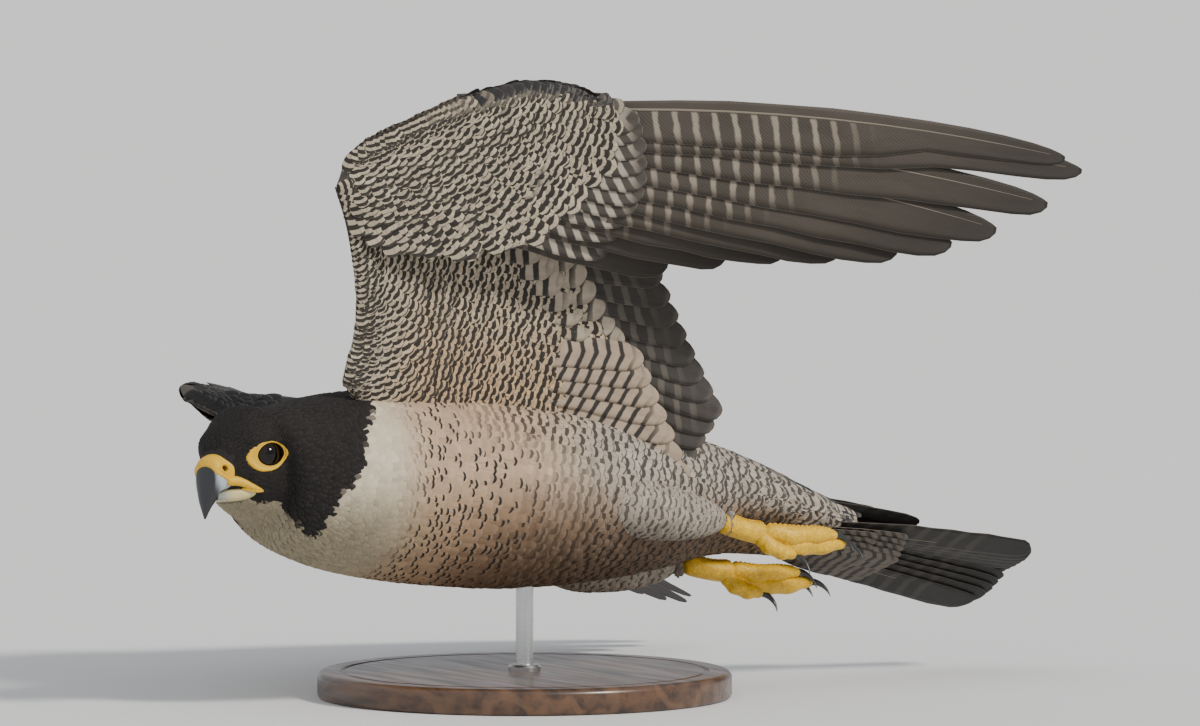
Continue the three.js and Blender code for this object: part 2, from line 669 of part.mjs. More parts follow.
// Legs
const mirrored = (path) => path.map(([x, y, z]) => [-x, y, z]);
const moved = (path, shift) => path.map((place) => place.map((value, axis) => value + shift[axis]));

function claw(path, side, grow = 0) {
  const tip = point(path[path.length - 1]);
  const before = point(path[path.length - 2]);
  const along = tip.clone().sub(before).normalize();
  const down = new THREE.Vector3(0, 0, -1).addScaledVector(along, along.z).normalize();
  const radius = CLAW_LENGTH / turn(CLAW_BEND);
  const start = tip.clone().addScaledVector(along, -1 - grow);
  const rings = 4;
  const sides = 6;
  const sideways = new THREE.Vector3().crossVectors(along, down);
  return loft(Array.from({ length: rings + 1 }, (_, k) => {
    const angle = (k / rings) * turn(CLAW_BEND);
    const middle = start.clone()
      .addScaledVector(along, radius * Math.sin(angle))
      .addScaledVector(down, radius * (1 - Math.cos(angle)));
    const out = along.clone().multiplyScalar(-Math.sin(angle)).addScaledVector(down, Math.cos(angle));
    const thick = CLAW_RADIUS * (1 - (0.88 * k) / rings) + grow * 1.2;
    return Array.from({ length: sides }, (_, i) => {
      const round = (i / sides) * Math.PI * 2;
      return middle.clone()
        .addScaledVector(out, thick * Math.cos(round))
        .addScaledVector(sideways, side * thick * Math.sin(round));
    });
  }));
}

// Stand
function standBase() {
  const profile = [
    new THREE.Vector2(0, 0),
    new THREE.Vector2(BASE_RADIUS, 0),
    new THREE.Vector2(BASE_RADIUS, BASE_HEIGHT - BASE_EDGE),
    new THREE.Vector2(BASE_RADIUS - BASE_EDGE, BASE_HEIGHT),
    new THREE.Vector2(0, BASE_HEIGHT),
  ];
  const turned = new THREE.LatheGeometry(profile, 40);
  return shapeSolid(turned, new THREE.Matrix4().makeRotationX(Math.PI / 2));
}

const stance = new THREE.Euler(-turn(PITCH), -turn(BANK), 0, 'XYZ');
const carried = point(CARRIED_AT).applyEuler(stance);
const birdPosition = new THREE.Vector3(-carried.x, -carried.y, SHOULDER_HEIGHT);
const birdMatrix = new THREE.Matrix4().compose(
  birdPosition,
  new THREE.Quaternion().setFromEuler(stance),
  new THREE.Vector3(1, 1, 1),
);
const worldToBird = birdMatrix.clone().invert();

// The rod stands on the base and ends inside the body, below the point that it carries
const rodFoot = BASE_HEIGHT + GAP;
const rodTop = SHOULDER_HEIGHT + carried.z - ROD_IN_BODY;
function rodSolid(grow = 0) {
  const height = rodTop - rodFoot;
  const upright = new THREE.Matrix4().makeRotationX(Math.PI / 2);
  upright.setPosition(0, 0, rodFoot + (height + grow) / 2);
  const radius = ROD_RADIUS + grow;
  return shapeSolid(new THREE.CylinderGeometry(radius, radius, height + grow, 24), upright);
}

// Assembly
const falcon = new THREE.Group();
falcon.add(mesh('stand_base', standBase(), COLOURS.base, { roughness: 0.45 }));
falcon.add(mesh('stand_rod', rodSolid(), COLOURS.rod, { roughness: 0.35, metalness: 0.9 }));

const bird = new THREE.Group();
bird.position.copy(birdPosition);
bird.rotation.copy(stance);
falcon.add(bird);

const head = new THREE.Group();
head.position.copy(point(HEAD_AT));
head.quaternion.copy(headTurn);
bird.add(head);

const billHollow = join([billSolid(UPPER_BILL, GAP), billSolid(LOWER_BILL, GAP)]);
head.add(mesh('head', headFlesh.subtract(billHollow), COLOURS.hood));
const cere = upperBill.subtract(beyondCereGap).subtract(join([nostril(1), nostril(-1)]));
head.add(mesh('cere', cere, COLOURS.cere, { roughness: 0.5 }));
head.add(mesh('bill_upper', upperBill.intersect(beyondCere), COLOURS.bill, { roughness: 0.35 }));
head.add(mesh('bill_lower', lowerBill, COLOURS.bill, { roughness: 0.4 }));
for (const [name, side] of [['left', 1], ['right', -1]]) {
  head.add(mesh(`eye_${name}`, eyeBall(side), COLOURS.eye, { roughness: 0.05 }));
}

const rodHole = rodSolid(GAP).transform(worldToBird.toArray());
const grownBody = bodySolid(NECK_BACK - 1, lastSection, GAP);
bird.add(mesh('neck', bodySolid(neckFrom, NECK_BACK), COLOURS.breast));
bird.add(mesh('torso', bodySolid(torsoFrom, lastSection).subtract(rodHole), COLOURS.belly));

bird.add(mesh('tail', tailSolid(), COLOURS.tail));

const thighs = {};
for (const [name, side, pose] of [['left', 1, LEFT_WING], ['right', -1, RIGHT_WING]]) {
  const { arm, hand } = wing(pose);
  bird.add(mesh(`wing_${name}_arm`, arm, COLOURS.wing));
  bird.add(mesh(`wing_${name}_hand`, hand, COLOURS.wing));
  const place = side > 0 ? (path) => path : mirrored;
  const footPlace = side > 0 ? (path) => path : (path) => mirrored(moved(path, FAR_FOOT));
  const thighPath = place(THIGH_PATH);
  thighs[name] = limb(thighPath, THIGH_RADII, { sides: 14, rings: 10 }).subtract(grownBody);
  bird.add(mesh(`leg_${name}`, thighs[name].subtract(rodHole), COLOURS.belly));
  const grownThigh = limb(thighPath, THIGH_RADII, { sides: 14, rings: 10, grow: GAP });
  const toes = TOES.map(({ path, radii }) => limb(footPlace(path), radii, { sides: 6, rings: 6 }));
  const foot = join([limb(footPlace(SHANK_PATH), SHANK_RADII, { sides: 8, rings: 4 }), ...toes]);
  const clawBeds = join(TOES.map(({ path }) => claw(footPlace(path), side, GAP)));
  const bare = foot.subtract(join([grownThigh, grownBody, clawBeds]));
  bird.add(mesh(`foot_${name}`, bare, COLOURS.foot));
  TOES.forEach(({ path }, i) => {
    bird.add(mesh(`claw_${name}_${i + 1}`, claw(footPlace(path), side), COLOURS.claw, { roughness: 0.4 }));
  });
}

export default falcon;
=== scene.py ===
"""The dressed falcon: skin, feathers, head, feet and stand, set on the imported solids.

Shapes are worked out in millimetres in the bird's own frame (x to its left, y back, z up, origin
between its shoulders), and moved to the room when a mesh is made.
"""

import math

import bpy
import numpy as np
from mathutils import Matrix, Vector


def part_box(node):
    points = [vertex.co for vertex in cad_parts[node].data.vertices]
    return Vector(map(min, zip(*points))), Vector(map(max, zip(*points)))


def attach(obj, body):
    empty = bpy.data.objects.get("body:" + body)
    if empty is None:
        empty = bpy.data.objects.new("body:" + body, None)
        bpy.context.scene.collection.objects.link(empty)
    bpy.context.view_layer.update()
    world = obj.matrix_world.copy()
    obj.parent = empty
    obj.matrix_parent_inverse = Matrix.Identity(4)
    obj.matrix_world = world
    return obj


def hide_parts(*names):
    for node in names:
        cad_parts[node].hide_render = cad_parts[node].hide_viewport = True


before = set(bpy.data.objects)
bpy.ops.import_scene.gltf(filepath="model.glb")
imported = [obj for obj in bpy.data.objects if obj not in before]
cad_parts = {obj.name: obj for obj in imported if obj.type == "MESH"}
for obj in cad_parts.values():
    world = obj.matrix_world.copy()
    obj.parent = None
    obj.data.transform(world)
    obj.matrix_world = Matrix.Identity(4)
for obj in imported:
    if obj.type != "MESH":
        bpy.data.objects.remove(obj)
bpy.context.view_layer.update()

bl_info = {
    "name": "Falcon in Flight",
    "version": (1, 0, 0),
    "blender": (4, 5, 0),
    "location": "View3D > Sidebar > Falcon",
    "description": "Feathers, head, feet and stand of a life-size falcon model",
    "category": "Object",
}

# How the bird is held
PITCH, BANK = 11, 32.5
SHOULDER_HEIGHT = 116
CARRIED_AT = (0, 85, -10)

# Head, and how it turns against the body
HEAD_AT = (0.6, -67.6, -16)
HEAD_YAW, HEAD_NOD, HEAD_ROLL = 10.6, 26.8, 23.6

# Sections of the head: place back along it, half width, height above and below the middle
FACE_SECTIONS = (
    (-18.5, 6.8, 4.2, 13.5),
    (-15, 10.4, 8.6, 17.6),
    (-9, 15.6, 14, 22.5),
    (-2, 19.4, 18.4, 28),
    (6, 23.2, 22.8, 33.2),
)
# Sections of neck and body: back, height, half width, up, down, and share of the head's turn
BODY_SECTIONS = (
    (-54, -20, 26.6, 28.2, 35, 0.78),
    (-36, -20, 34, 36, 39, 0.45),
    (-14, -18, 41, 41, 42.5, 0.15),
    (16, -15, 45, 43, 45, 0),
    (48, -11, 47, 44, 46, 0),
    (84, -7, 47, 42, 45, 0),
    (122, -2, 44, 37, 41, 0),
    (160, 0, 38, 32, 31, 0),
    (200, 2, 29, 25, 17, 0),
    (242, 1, 21, 14, 12, 0),
)
ROUNDNESS = 2.15
# Swellings and hollows of the face: place in the head, spread and height
FACE_FORMS = (
    (15.5, -6, 8.5, 4.2, 1.6),
    (13.5, -11, 1, 3.6, -1.2),
    (18, -2, 0, 5.5, -0.9),
    (17, 4, -14, 7, 1),
    (21, 9.5, 0, 4.5, -1.8),
)
EYE_AT, EYE_RADIUS, EYE_TOE_IN = (13, 2.6, 0.4), 8.0, 22
# The lids' opening, how far bare skin reaches from its middle, by degrees round from straight ahead,
# and how far the skin is pressed in under that ring
OPENING, OPENING_AT = (6.3, 5.05), -0.5
RING_REACH = (
    (-180, 7.4), (-171, 7.5), (-126, 6.9), (-90, 7.2), (-62, 8.2), (-20, 11.2), (0, 12.6), (16, 11.3),
    (40, 7.8),
    (80, 5.5), (131, 5.8), (160, 6.9), (180, 7.4),
)
RING_PRESS = 4.5

# Bill: culmen y, z, cutting edge y, z, half width
UPPER_BILL = (
    (-11, 4.4, -9, -11.6, 11),
    (-17.5, 4.6, -14, -11.9, 9.3),
    (-21.8, 3.4, -17.8, -12, 8.2),
    (-24, 0.4, -20.6, -12.4, 7.2),
    (-25.6, -4.2, -22.4, -13.6, 6.4),
    (-27.2, -9.6, -23.8, -16.2, 5.1),
    (-28.6, -15.4, -26.2, -18.6, 3.2),
    (-29.6, -23, -28.9, -23.2, 0.35),
)
LOWER_BILL = (
    (-3, -10.2, -3, -18.2, 15),
    (-8, -10.2, -8, -18.6, 12.6),
    (-13, -10.6, -13.4, -18.1, 9.8),
    (-17, -11.6, -17.6, -17, 6.7),
    (-20.8, -13.8, -21, -15.4, 2.4),
)
# Where the cere ends, as y and z, and the middle of the left nostril
CERE_EDGE = ((-14.6, -10.9), (-23.9, -4), (-24.4, 1))
NOSTRIL_AT = (8, -19.6, -2)
# Fleshy rims of the mouth's corner
UPPER_LIP = ((7.2, -19, -8.4), (8.6, -15.6, -8.5), (10.6, -12.8, -9.6), (13.7, -8.2, -13),
             (15.7, -4.2, -15.4))
LOWER_LIP = ((10, -12.6, -12.8), (11.4, -10.8, -13.2), (12.8, -9, -14), (14.2, -7, -14.9),
             (15.7, -4.2, -15.7))

# Wings: joints, bones and the flesh of arm and hand
WINGS = {
    "left": {"side": 1, "shoulder": (32, 0, 0), "wrist": (92, -38, 79), "to_tip": (117, 310, 2)},
    "right": {"side": -1, "shoulder": (-32, 0, 0), "wrist": (-80, -25, 62), "to_tip": (-93, 308, 6)},
}
HAND_CHORD = (-0.577, 0.223, -0.786)
UPPER_ARM, FOREARM = 75.6, 98.0
ARM_CAMBER, ARM_CHORD, ARM_SPAN = 7.0, 200.0, 99.2
# Flesh by stations: place out along the wing, leading edge, trailing edge and thickness
ARM_FLESH = (
    (2, -18, 100, 17),
    (14, -29, 104, 17),
    (36, -28, 94, 15),
    (54, -33, 80, 13),
    (80, -45, 52, 12),
    (97, -56, 24, 10),
)
HAND_FLESH = (
    (-15, -3, 3, 3),
    (-8, -18, 14, 9),
    (13, -29, 22, 10.5),
    (40, -40, 20, 10),
    (70, -47, 8, 9),
    (94, -43.5, -14, 7),
    (104, -39, -30, 4),
)
# How far the skin, and the face that small feathers grow from, lie inside the flesh of the solid
WING_SKIN_DEPTH, WING_COAT_DEPTH = 1.0, 0.8
PRIMARY_ROOTS = ((0, -4), (84, -33))
PRIMARY_TIPS = (
    (143, 41), (169, 37), (195, 35), (220, 35), (246, 35), (271, 32), (292, 26), (316, 15), (332, 0),
    (324, -6),
)
PRIMARY_COVERTS_TO = (98, 106, 112, 112, 108)
PRIMARY_BOW, PRIMARY_TWIST = 8.0, 20.0
SECONDARY_COUNT, SECONDARY_SHARE = 13, 0.76
SECONDARY_LENGTHS, SECONDARY_ANGLES = (142, 118, 130), (2.4, -13.7, -11)
SECONDARY_TWIST, TWIST_REACH = -9.0, 0.55

# Tail feathers: place from the middle at root and tip, length, and widths of outer and inner vane
TAIL_ROOT, TAIL_DROOP, TAIL_STEP = (0, 242.3, 1), 0.02, 1.05
TAIL_FEATHERS = (
    (2, 2, 109, 6, 8),
    (4, 6.5, 109, 6, 5.8),
    (6, 11, 108.5, 6, 9),
    (8, 15.4, 108, 5.5, 11),
    (10, 19.4, 106.5, 5, 12),
    (12, 23.2, 103.5, 4, 12),
)

# Legs, for the left side
THIGH_PATH = ((22, 96, -18), (26, 122, -21), (25, 148, -21), (22, 178, -18))
THIGH_RADII = (9, 15, 13, 7)
SHANK_PATH = ((21, 176, -18), (20, 190, -20), (19, 202, -19.5))
SHANK_RADII = (5.4, 4.8, 5.4)
TOES = (
    (((21, 199, -19.5), (24, 213, -21), (24.5, 227, -18.5), (23.5, 239, -16)), (4.4, 4.4, 3.8, 2.6)),
    (((20, 200, -20), (20, 217, -23.5), (20, 233, -20.5), (19.5, 246, -17)), (4.6, 4.6, 3.9, 2.6)),
    (((18.5, 199, -18.5), (16, 212, -20.5), (15, 225, -18), (15.5, 237, -15.5)), (4.3, 4.3, 3.6, 2.5)),
    (((20, 197, -22), (20, 206, -27.5), (19.5, 217, -28)), (4, 3.8, 2.7)),
)
FAR_FOOT = (0, 6, 1.5)
CLAW_LENGTH, CLAW_RADIUS, CLAW_BEND = 13.0, 1.9, 95

# Where a feather's shaft stands across its vane, from the outer edge at 0
SHAFT_AT = 0.3
# The photograph's view: degrees round and up, aim right of and above the shoulders, metres seen across
VIEW_AZIMUTH, VIEW_ELEVATION = 60.2, 4.0
VIEW_AIM, VIEW_WIDTH = (108.2, 39.5), 0.54545

# Markings of the hood's edge: place along the body, angle above the side
HOOD_EDGE = (
    (0, -50), (2.2, -52), (3.1, -44), (3.95, -50), (4.54, -53), (4.89, -60), (5.1, -66), (5.16, -62),
    (5.28, -54),
    (5.38, -43), (5.58, -27), (5.81, -21), (6.11, -9), (6.31, 7), (6.47, 22), (6.78, 39), (7.3, 60),
    (8.2, 72),
)


# Numbers and surfaces

def turn(axis, degrees):
    c, s = math.cos(math.radians(degrees)), math.sin(math.radians(degrees))
    return np.array({
        "x": ((1, 0, 0), (0, c, -s), (0, s, c)),
        "y": ((c, 0, s), (0, 1, 0), (-s, 0, c)),
        "z": ((c, -s, 0), (s, c, 0), (0, 0, 1)),
    }[axis])


STANCE = turn("x", -PITCH) @ turn("y", -BANK)
CARRIED = STANCE @ np.array(CARRIED_AT, float)
ORIGIN = np.array((-CARRIED[0], -CARRIED[1], SHOULDER_HEIGHT))
HEAD_TURN = turn("z", HEAD_YAW) @ turn("x", HEAD_NOD) @ turn("y", HEAD_ROLL)


def to_room(points):
    return (np.asarray(points, float) @ STANCE.T + ORIGIN) / 1000


def from_head(points):
    return np.asarray(points, float) @ HEAD_TURN.T + np.array(HEAD_AT)


def to_head(points):
    return (points - np.array(HEAD_AT)) @ HEAD_TURN


def unit(vectors):
    return vectors / np.maximum(np.linalg.norm(vectors, axis=-1, keepdims=True), 1e-9)


def step(low, high, value):
    f = np.clip((value - low) / (high - low), 0, 1)
    return f * f * (3 - 2 * f)


def lerp(a, b, f):
    return a + (b - a) * f


def catmull(points, at):
    points = np.asarray(points, float)
    ends = np.vstack((2 * points[0] - points[1], points, 2 * points[-1] - points[-2]))
    at = np.clip(np.asarray(at, float), 0, len(points) - 1)
    i = np.minimum(at.astype(int), len(points) - 2)
    f = (at - i)[..., None]
    a, b, c, d = ends[i], ends[i + 1], ends[i + 2], ends[i + 3]
    return b + 0.5 * f * (c - a + f * (2 * a - 5 * b + 4 * c - d + f * (3 * (b - c) + d - a)))


def look_up(table, at):
    """Reads a table of places and values between its rows."""
    return np.interp(at, *np.array(table, float).T)


def mirrored(path, side, shift=(0, 0, 0)):
    """Places of the left side, or for the right side the same ones shifted and mirrored."""
    points = np.array(path, float)
    return points if side > 0 else (points + np.array(shift)) * (-1, 1, 1)


def between(values, share):
    values = np.asarray(values, float)
    at = np.clip(share, 0, 1) * (len(values) - 1)
    return np.interp(at, np.arange(len(values)), values)


SECTIONS = [(*from_head((0, y, 0)), half, up, down, 1.0) for y, half, up, down in FACE_SECTIONS]
SECTIONS += [(0, y, z, half, up, down, share) for y, z, half, up, down, share in BODY_SECTIONS]
LAST = len(SECTIONS) - 1
TURN_ANGLE = math.acos((np.trace(HEAD_TURN) - 1) / 2)
TURN_AXIS = unit(np.array((
    HEAD_TURN[2, 1] - HEAD_TURN[1, 2], HEAD_TURN[0, 2] - HEAD_TURN[2, 0], HEAD_TURN[1, 0] - HEAD_TURN[0, 1],
)))


def turned(vectors, share):
    angle = (TURN_ANGLE * np.clip(share, 0, 1))[..., None]
    c, s = np.cos(angle), np.sin(angle)
    along = (vectors @ TURN_AXIS)[..., None] * TURN_AXIS
    return vectors * c + np.cross(TURN_AXIS, vectors) * s + along * (1 - c)


def face_form(points):
    local = to_head(points)
    local = local * np.where(local[..., :1] < 0, np.array((-1, 1, 1)), np.array((1, 1, 1)))
    height = np.zeros(points.shape[:-1])
    for x, y, z, spread, swell in FACE_FORMS:
        away = ((local - np.array((x, y, z))) ** 2).sum(-1)
        height += swell * np.exp(-away / (2 * spread * spread))
    return height


def body_point(count, angle, grow):
    row = catmull(SECTIONS, count)
    c, s = np.cos(angle), np.sin(angle)
    power = 2 / ROUNDNESS
    wide = np.sign(c) * np.abs(c) ** power * (row[..., 3] + grow)
    s = np.sign(s) * np.abs(s) ** power
    high = s * (np.where(s > 0, row[..., 4], row[..., 5]) + grow)
    radial = turned(np.stack((wide, np.zeros_like(wide), high), -1), row[..., 6])
    place = row[..., :3] + radial
    return place + unit(radial) * face_form(place)[..., None]


def coat_depth(count):
    return np.interp(count, (0, 2, 4, 6, 8, 14), (0.5, 0.7, 0.9, 1.3, 1.9, 1.9))


class Sheet:
    """A surface as a grid of points with normals, read between its points and a little past its edges."""

    def __init__(self, points, inside, closed=False):
        self.points = points
        self.closed = closed
        across = np.gradient(points, axis=1)
        if closed:
            across[:, 0] = across[:, -1] = (points[:, 1] - points[:, -2]) / 2
        normals = unit(np.cross(np.gradient(points, axis=0), across))
        flip = np.sign(np.median(((points - inside) * normals).sum(-1)))
        self.normals = normals * flip

    def read(self, grid, a, b):
        rows, columns = grid.shape[:2]
        if self.closed:
            b = np.mod(b, columns - 1)
        i = np.clip(a.astype(int), 0, rows - 2)
        j = np.clip(b.astype(int), 0, columns - 2)
        f, g = (a - i)[..., None], (b - j)[..., None]
        near = grid[i, j] * (1 - g) + grid[i, j + 1] * g
        far = grid[i + 1, j] * (1 - g) + grid[i + 1, j + 1] * g
        return near * (1 - f) + far * f

    def at(self, a, b):
        return self.read(self.points, a, b)

    def share(self, a, b):
        rows, columns = self.points.shape[:2]
        return np.stack((a / (rows - 1), np.mod(b / (columns - 1), 1)), -1)

    def normal(self, a, b):
        rows, columns = self.points.shape[:2]
        if not self.closed:
            b = np.clip(b, 0, columns - 1)
        return unit(self.read(self.normals, np.clip(a, 0, rows - 1), b))


BODY_ROWS, BODY_COLUMNS = 561, 241


def body_grid():
    return np.meshgrid(
        np.linspace(0, LAST, BODY_ROWS), np.linspace(-math.pi, math.pi, BODY_COLUMNS), indexing="ij")


def body_sheet():
    counts, angles = body_grid()
    middle = catmull(SECTIONS, counts)[..., :3]
    return Sheet(body_point(counts, angles, -coat_depth(counts)), middle, closed=True)


def around(angle, first, second):
    """Directions round a circle in the plane of two directions, for each of their rows."""
    return np.cos(angle)[None, :, None] * first[:, None] + np.sin(angle)[None, :, None] * second[:, None]


def limb_sheet(path, radii, rows=60, columns=49, grow=0.0, form=None):
    shares = np.linspace(0, 1, rows)
    centre = catmull(path, shares * (len(path) - 1))
    along = unit(np.gradient(centre, axis=0))
    up = unit(np.cross(np.array((1.0, 0, 0)), along))
    side = unit(np.cross(along, up))
    end = np.sqrt(np.maximum(0.004, 1 - np.abs(2 * shares - 1) ** 8))
    radius = catmull(np.array(radii, float)[:, None], shares * (len(radii) - 1))[:, 0] * end + grow
    angle = np.linspace(0, 2 * math.pi, columns)
    reach = np.repeat(radius[:, None], columns, 1)
    if form is not None:
        reach = reach * form(shares[:, None], angle[None, :])
    points = centre[:, None] + reach[..., None] * around(angle, side, up)
    return Sheet(points, np.repeat(centre[:, None], columns, 1), closed=True)


class WingPlane:
    """Places a point by its distance out along the wing, back from its leading edge, and up off its plane."""

    def __init__(self, origin, out, back, side):
        self.origin, self.out, self.back = (np.array(v, float) for v in (origin, out, back))
        self.up = np.cross(self.out, self.back) * side

    def __call__(self, u, v, n):
        u, v, n = np.broadcast_arrays(u, v, n)
        return self.origin + u[..., None] * self.out + v[..., None] * self.back + n[..., None] * self.up


def arm_camber(v):
    return ARM_CAMBER * (1 - (2 * v / ARM_CHORD - 0.4) ** 2)


class CamberedPlane(WingPlane):
    def __call__(self, u, v, n):
        return super().__call__(u, v, n + arm_camber(v))


def wing_planes(wing):
    side, shoulder, wrist = wing["side"], np.array(wing["shoulder"], float), np.array(wing["wrist"], float)
    reach = wrist - shoulder
    outward = unit(np.array((reach[0], 0, reach[2])))
    along = unit(np.array(wing["to_tip"], float))
    chord = mirrored(HAND_CHORD, side)
    chord = unit(chord - along * (chord @ along))
    wrist_out = float(reach @ outward)
    arm = CamberedPlane(shoulder, outward, (0, 1, 0), side)
    return arm, WingPlane(wrist, along, chord, side), wrist_out, float(reach[1])


def arm_flesh(wrist_out, wrist_back):
    swept = wrist_back + 38
    return [(u / ARM_SPAN * wrist_out, lead + swept * u / ARM_SPAN, trail + swept * u / ARM_SPAN, thick)
            for u, lead, trail, thick in ARM_FLESH]


SPAN_ROWS, CHORD_COLUMNS = 81, 161


def flesh_half(s, thick, depth):
    return 0.5 + thick * np.sqrt(np.maximum(s * (1 - s), 0)) * (1 - 0.35 * s) - depth


def wing_sheet(plane, stations):
    """The wing's flesh round its leading edge: the lower face for q below 0, the upper face above."""
    k, q = np.meshgrid(np.linspace(0, 1, SPAN_ROWS), np.linspace(-1, 1, CHORD_COLUMNS), indexing="ij")
    u, lead, trail, thick = np.moveaxis(catmull(stations, k * (len(stations) - 1)), -1, 0)
    s = np.abs(q) ** 1.5
    half = np.maximum(flesh_half(s, thick, WING_SKIN_DEPTH), 0.15)
    points = plane(u, lerp(lead + 0.4, trail, s), np.sign(q) * half)
    inside = plane(u, lerp(lead, trail, np.minimum(s + 0.1, 0.9)), np.zeros_like(u))
    return Sheet(points, inside)


class WingFace:
    """One face of a wing's flesh, read by place in the wing's plane, and carried on past its edges."""

    def __init__(self, plane, stations, face, floor=3.3):
        self.plane, self.face, self.floor = plane, face, floor
        self.table = catmull(stations, np.linspace(0, len(stations) - 1, 400))

    def rows(self, u):
        return [np.interp(u, self.table[:, 0], self.table[:, k]) for k in (1, 2, 3)]

    def at(self, u, v):
        lead, trail, thick = self.rows(u)
        share = (v - lead) / np.maximum(trail - lead, 1)
        s = np.clip(share, 0, 1)
        half = np.maximum(flesh_half(s, thick, WING_COAT_DEPTH), 0.1)
        half = np.sqrt(half ** 2 + (self.floor * step(0.3, 0.8, s)) ** 2)
        return self.plane(u, np.maximum(v, lead + 0.3), self.face * half)

    def share(self, u, v):
        lead, trail, _ = self.rows(u)
        s = np.clip((v - lead) / (trail - lead), 0, 1)
        along = (u - self.table[0, 0]) / (self.table[-1, 0] - self.table[0, 0])
        return np.stack((along, 0.5 + 0.5 * self.face * s), -1)

    def normal(self, u, v):
        across = self.at(u + 1, v) - self.at(u - 1, v)
        down = self.at(u, v + 1) - self.at(u, v - 1)
        normal = unit(np.cross(across, down))
        up = self.plane.up * self.face
        return normal * np.where((normal * up).sum(-1, keepdims=True) < 0, -1, 1)


def elbow_place(out, back):
    reach = math.hypot(out, back)
    along = (UPPER_ARM ** 2 - FOREARM ** 2 + reach ** 2) / (2 * reach)
    off = math.sqrt(UPPER_ARM ** 2 - along ** 2)
    return (out * along - back * off) / reach, (back * along + out * off) / reach


def arm_feathers(share, wrist_out, wrist_back):
    elbow_out, elbow_back = elbow_place(wrist_out, wrist_back)
    secondary = np.minimum(share / SECONDARY_SHARE, 1)
    tertial = np.maximum(0, share - SECONDARY_SHARE) / (1 - SECONDARY_SHARE)
    inward = 1 - 0.42 * tertial
    out = lerp(wrist_out, elbow_out, secondary) * inward
    back = lerp(wrist_back, elbow_back, secondary) * inward
    place = (secondary + tertial) / 2
    length = between(SECONDARY_LENGTHS, place)
    angle = np.radians(between(SECONDARY_ANGLES, place))
    root = np.stack((out, back), -1)
    return root, root + length[:, None] * np.stack((np.sin(angle), np.cos(angle)), -1)


def hand_feathers(share):
    roots, tips = np.array(PRIMARY_ROOTS, float), np.array(PRIMARY_TIPS, float)
    root = np.stack([between(roots[:, axis], share) for axis in (0, 1)], -1)
    tip = np.stack([between(tips[:, axis], share) for axis in (0, 1)], -1)
    end = (between(PRIMARY_COVERTS_TO, share) - root[:, 0]) / (tip[:, 0] - root[:, 0])
    return root, tip, end


def twist_share(share):
    return np.maximum(0, 1 - share / TWIST_REACH) ** 1.5


def spread(count, first=0.0):
    return (np.arange(count) + first) / (count - 1 + first)


# Meshes

ATTRIBUTE_KINDS = {1: ("FLOAT", "value"), 3: ("FLOAT_VECTOR", "vector"), 4: ("FLOAT_COLOR", "color")}


def put_in_scene(name, data):
    made = bpy.data.objects.new(name, data)
    bpy.context.scene.collection.objects.link(made)
    return made


def turn_against(made, way):
    """Turns a lamp or the camera so that it looks against a direction."""
    made.rotation_mode = "QUATERNION"
    made.rotation_quaternion = Vector(way).to_track_quat("Z", "Y")


def paint_points(mesh, values):
    for key, data in values.items():
        data = np.asarray(data, np.float32)
        kind, field = ATTRIBUTE_KINDS[1 if data.ndim == 1 else data.shape[1]]
        mesh.attributes.new(key, kind, "POINT").data.foreach_set(field, data.ravel())


def make_piece(name, points, faces, material, maps=None, values=None, in_room=False):
    """A mesh piece from points, and from arrays of faces with a like number of corners."""
    points = np.asarray(points, float).reshape(-1, 3)
    if not in_room:
        points = to_room(points)
    mesh = bpy.data.meshes.new(name)
    corners = np.concatenate([block.reshape(-1) for block in faces]).astype(np.int32)
    totals = np.concatenate([np.full(len(block), block.shape[1]) for block in faces])
    starts = np.concatenate(((0,), np.cumsum(totals)[:-1])).astype(np.int32)
    mesh.vertices.add(len(points))
    mesh.vertices.foreach_set("co", points.astype(np.float32).ravel())
    mesh.loops.add(len(corners))
    mesh.loops.foreach_set("vertex_index", corners)
    mesh.polygons.add(len(totals))
    mesh.polygons.foreach_set("loop_start", starts)
    mesh.update(calc_edges=True)
    mesh.polygons.foreach_set("use_smooth", np.ones(len(totals), bool))
    for key, uv in (maps or {}).items():
        layer = mesh.uv_layers.new(name=key)
        layer.data.foreach_set("uv", np.asarray(uv, np.float32)[corners].ravel())
    paint_points(mesh, values or {})
    mesh.materials.append(material)
    mesh.validate()
    piece = put_in_scene(name, mesh)
    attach(piece, "root")
    return piece


def grid_faces(rows, columns, closed=False):
    i, j = np.meshgrid(np.arange(rows - 1), np.arange(columns if closed else columns - 1), indexing="ij")
    row, next_row, next_j = i * columns, (i + 1) * columns, (j + 1) % columns
    return np.stack((row + j, row + next_j, next_row + next_j, next_row + j), -1).reshape(-1, 4)


def outward(points, faces):
    """Turns the faces of one closed shell so that they point outwards."""
    volume = 0.0
    for block in faces:
        a = points[block[:, 0]]
        for k in range(1, block.shape[1] - 1):
            volume += (a * np.cross(points[block[:, k]], points[block[:, k + 1]])).sum()
    return [block[:, ::-1] for block in faces] if volume < 0 else faces


def shell(rings):
    """A closed tube through rings of points, with a fan over each end."""
    rings = np.asarray(rings, float)
    rows, columns = rings.shape[:2]
    points = np.concatenate((rings.reshape(-1, 3), rings[0].mean(0)[None], rings[-1].mean(0)[None]))
    j = np.arange(columns)
    last = (rows - 1) * columns
    first_fan = np.stack((np.full(columns, rows * columns), (j + 1) % columns, j), -1)
    last_fan = np.stack((np.full(columns, rows * columns + 1), last + j, last + (j + 1) % columns), -1)
    return points, outward(points, [grid_faces(rows, columns, closed=True), first_fan, last_fan])


def repeated(faces, count, each):
    """The faces of one shape for count copies of it, whose points follow each other."""
    starts = (np.arange(count) * each)[:, None, None]
    return [(block[None] + starts).reshape(-1, block.shape[1]) for block in faces]


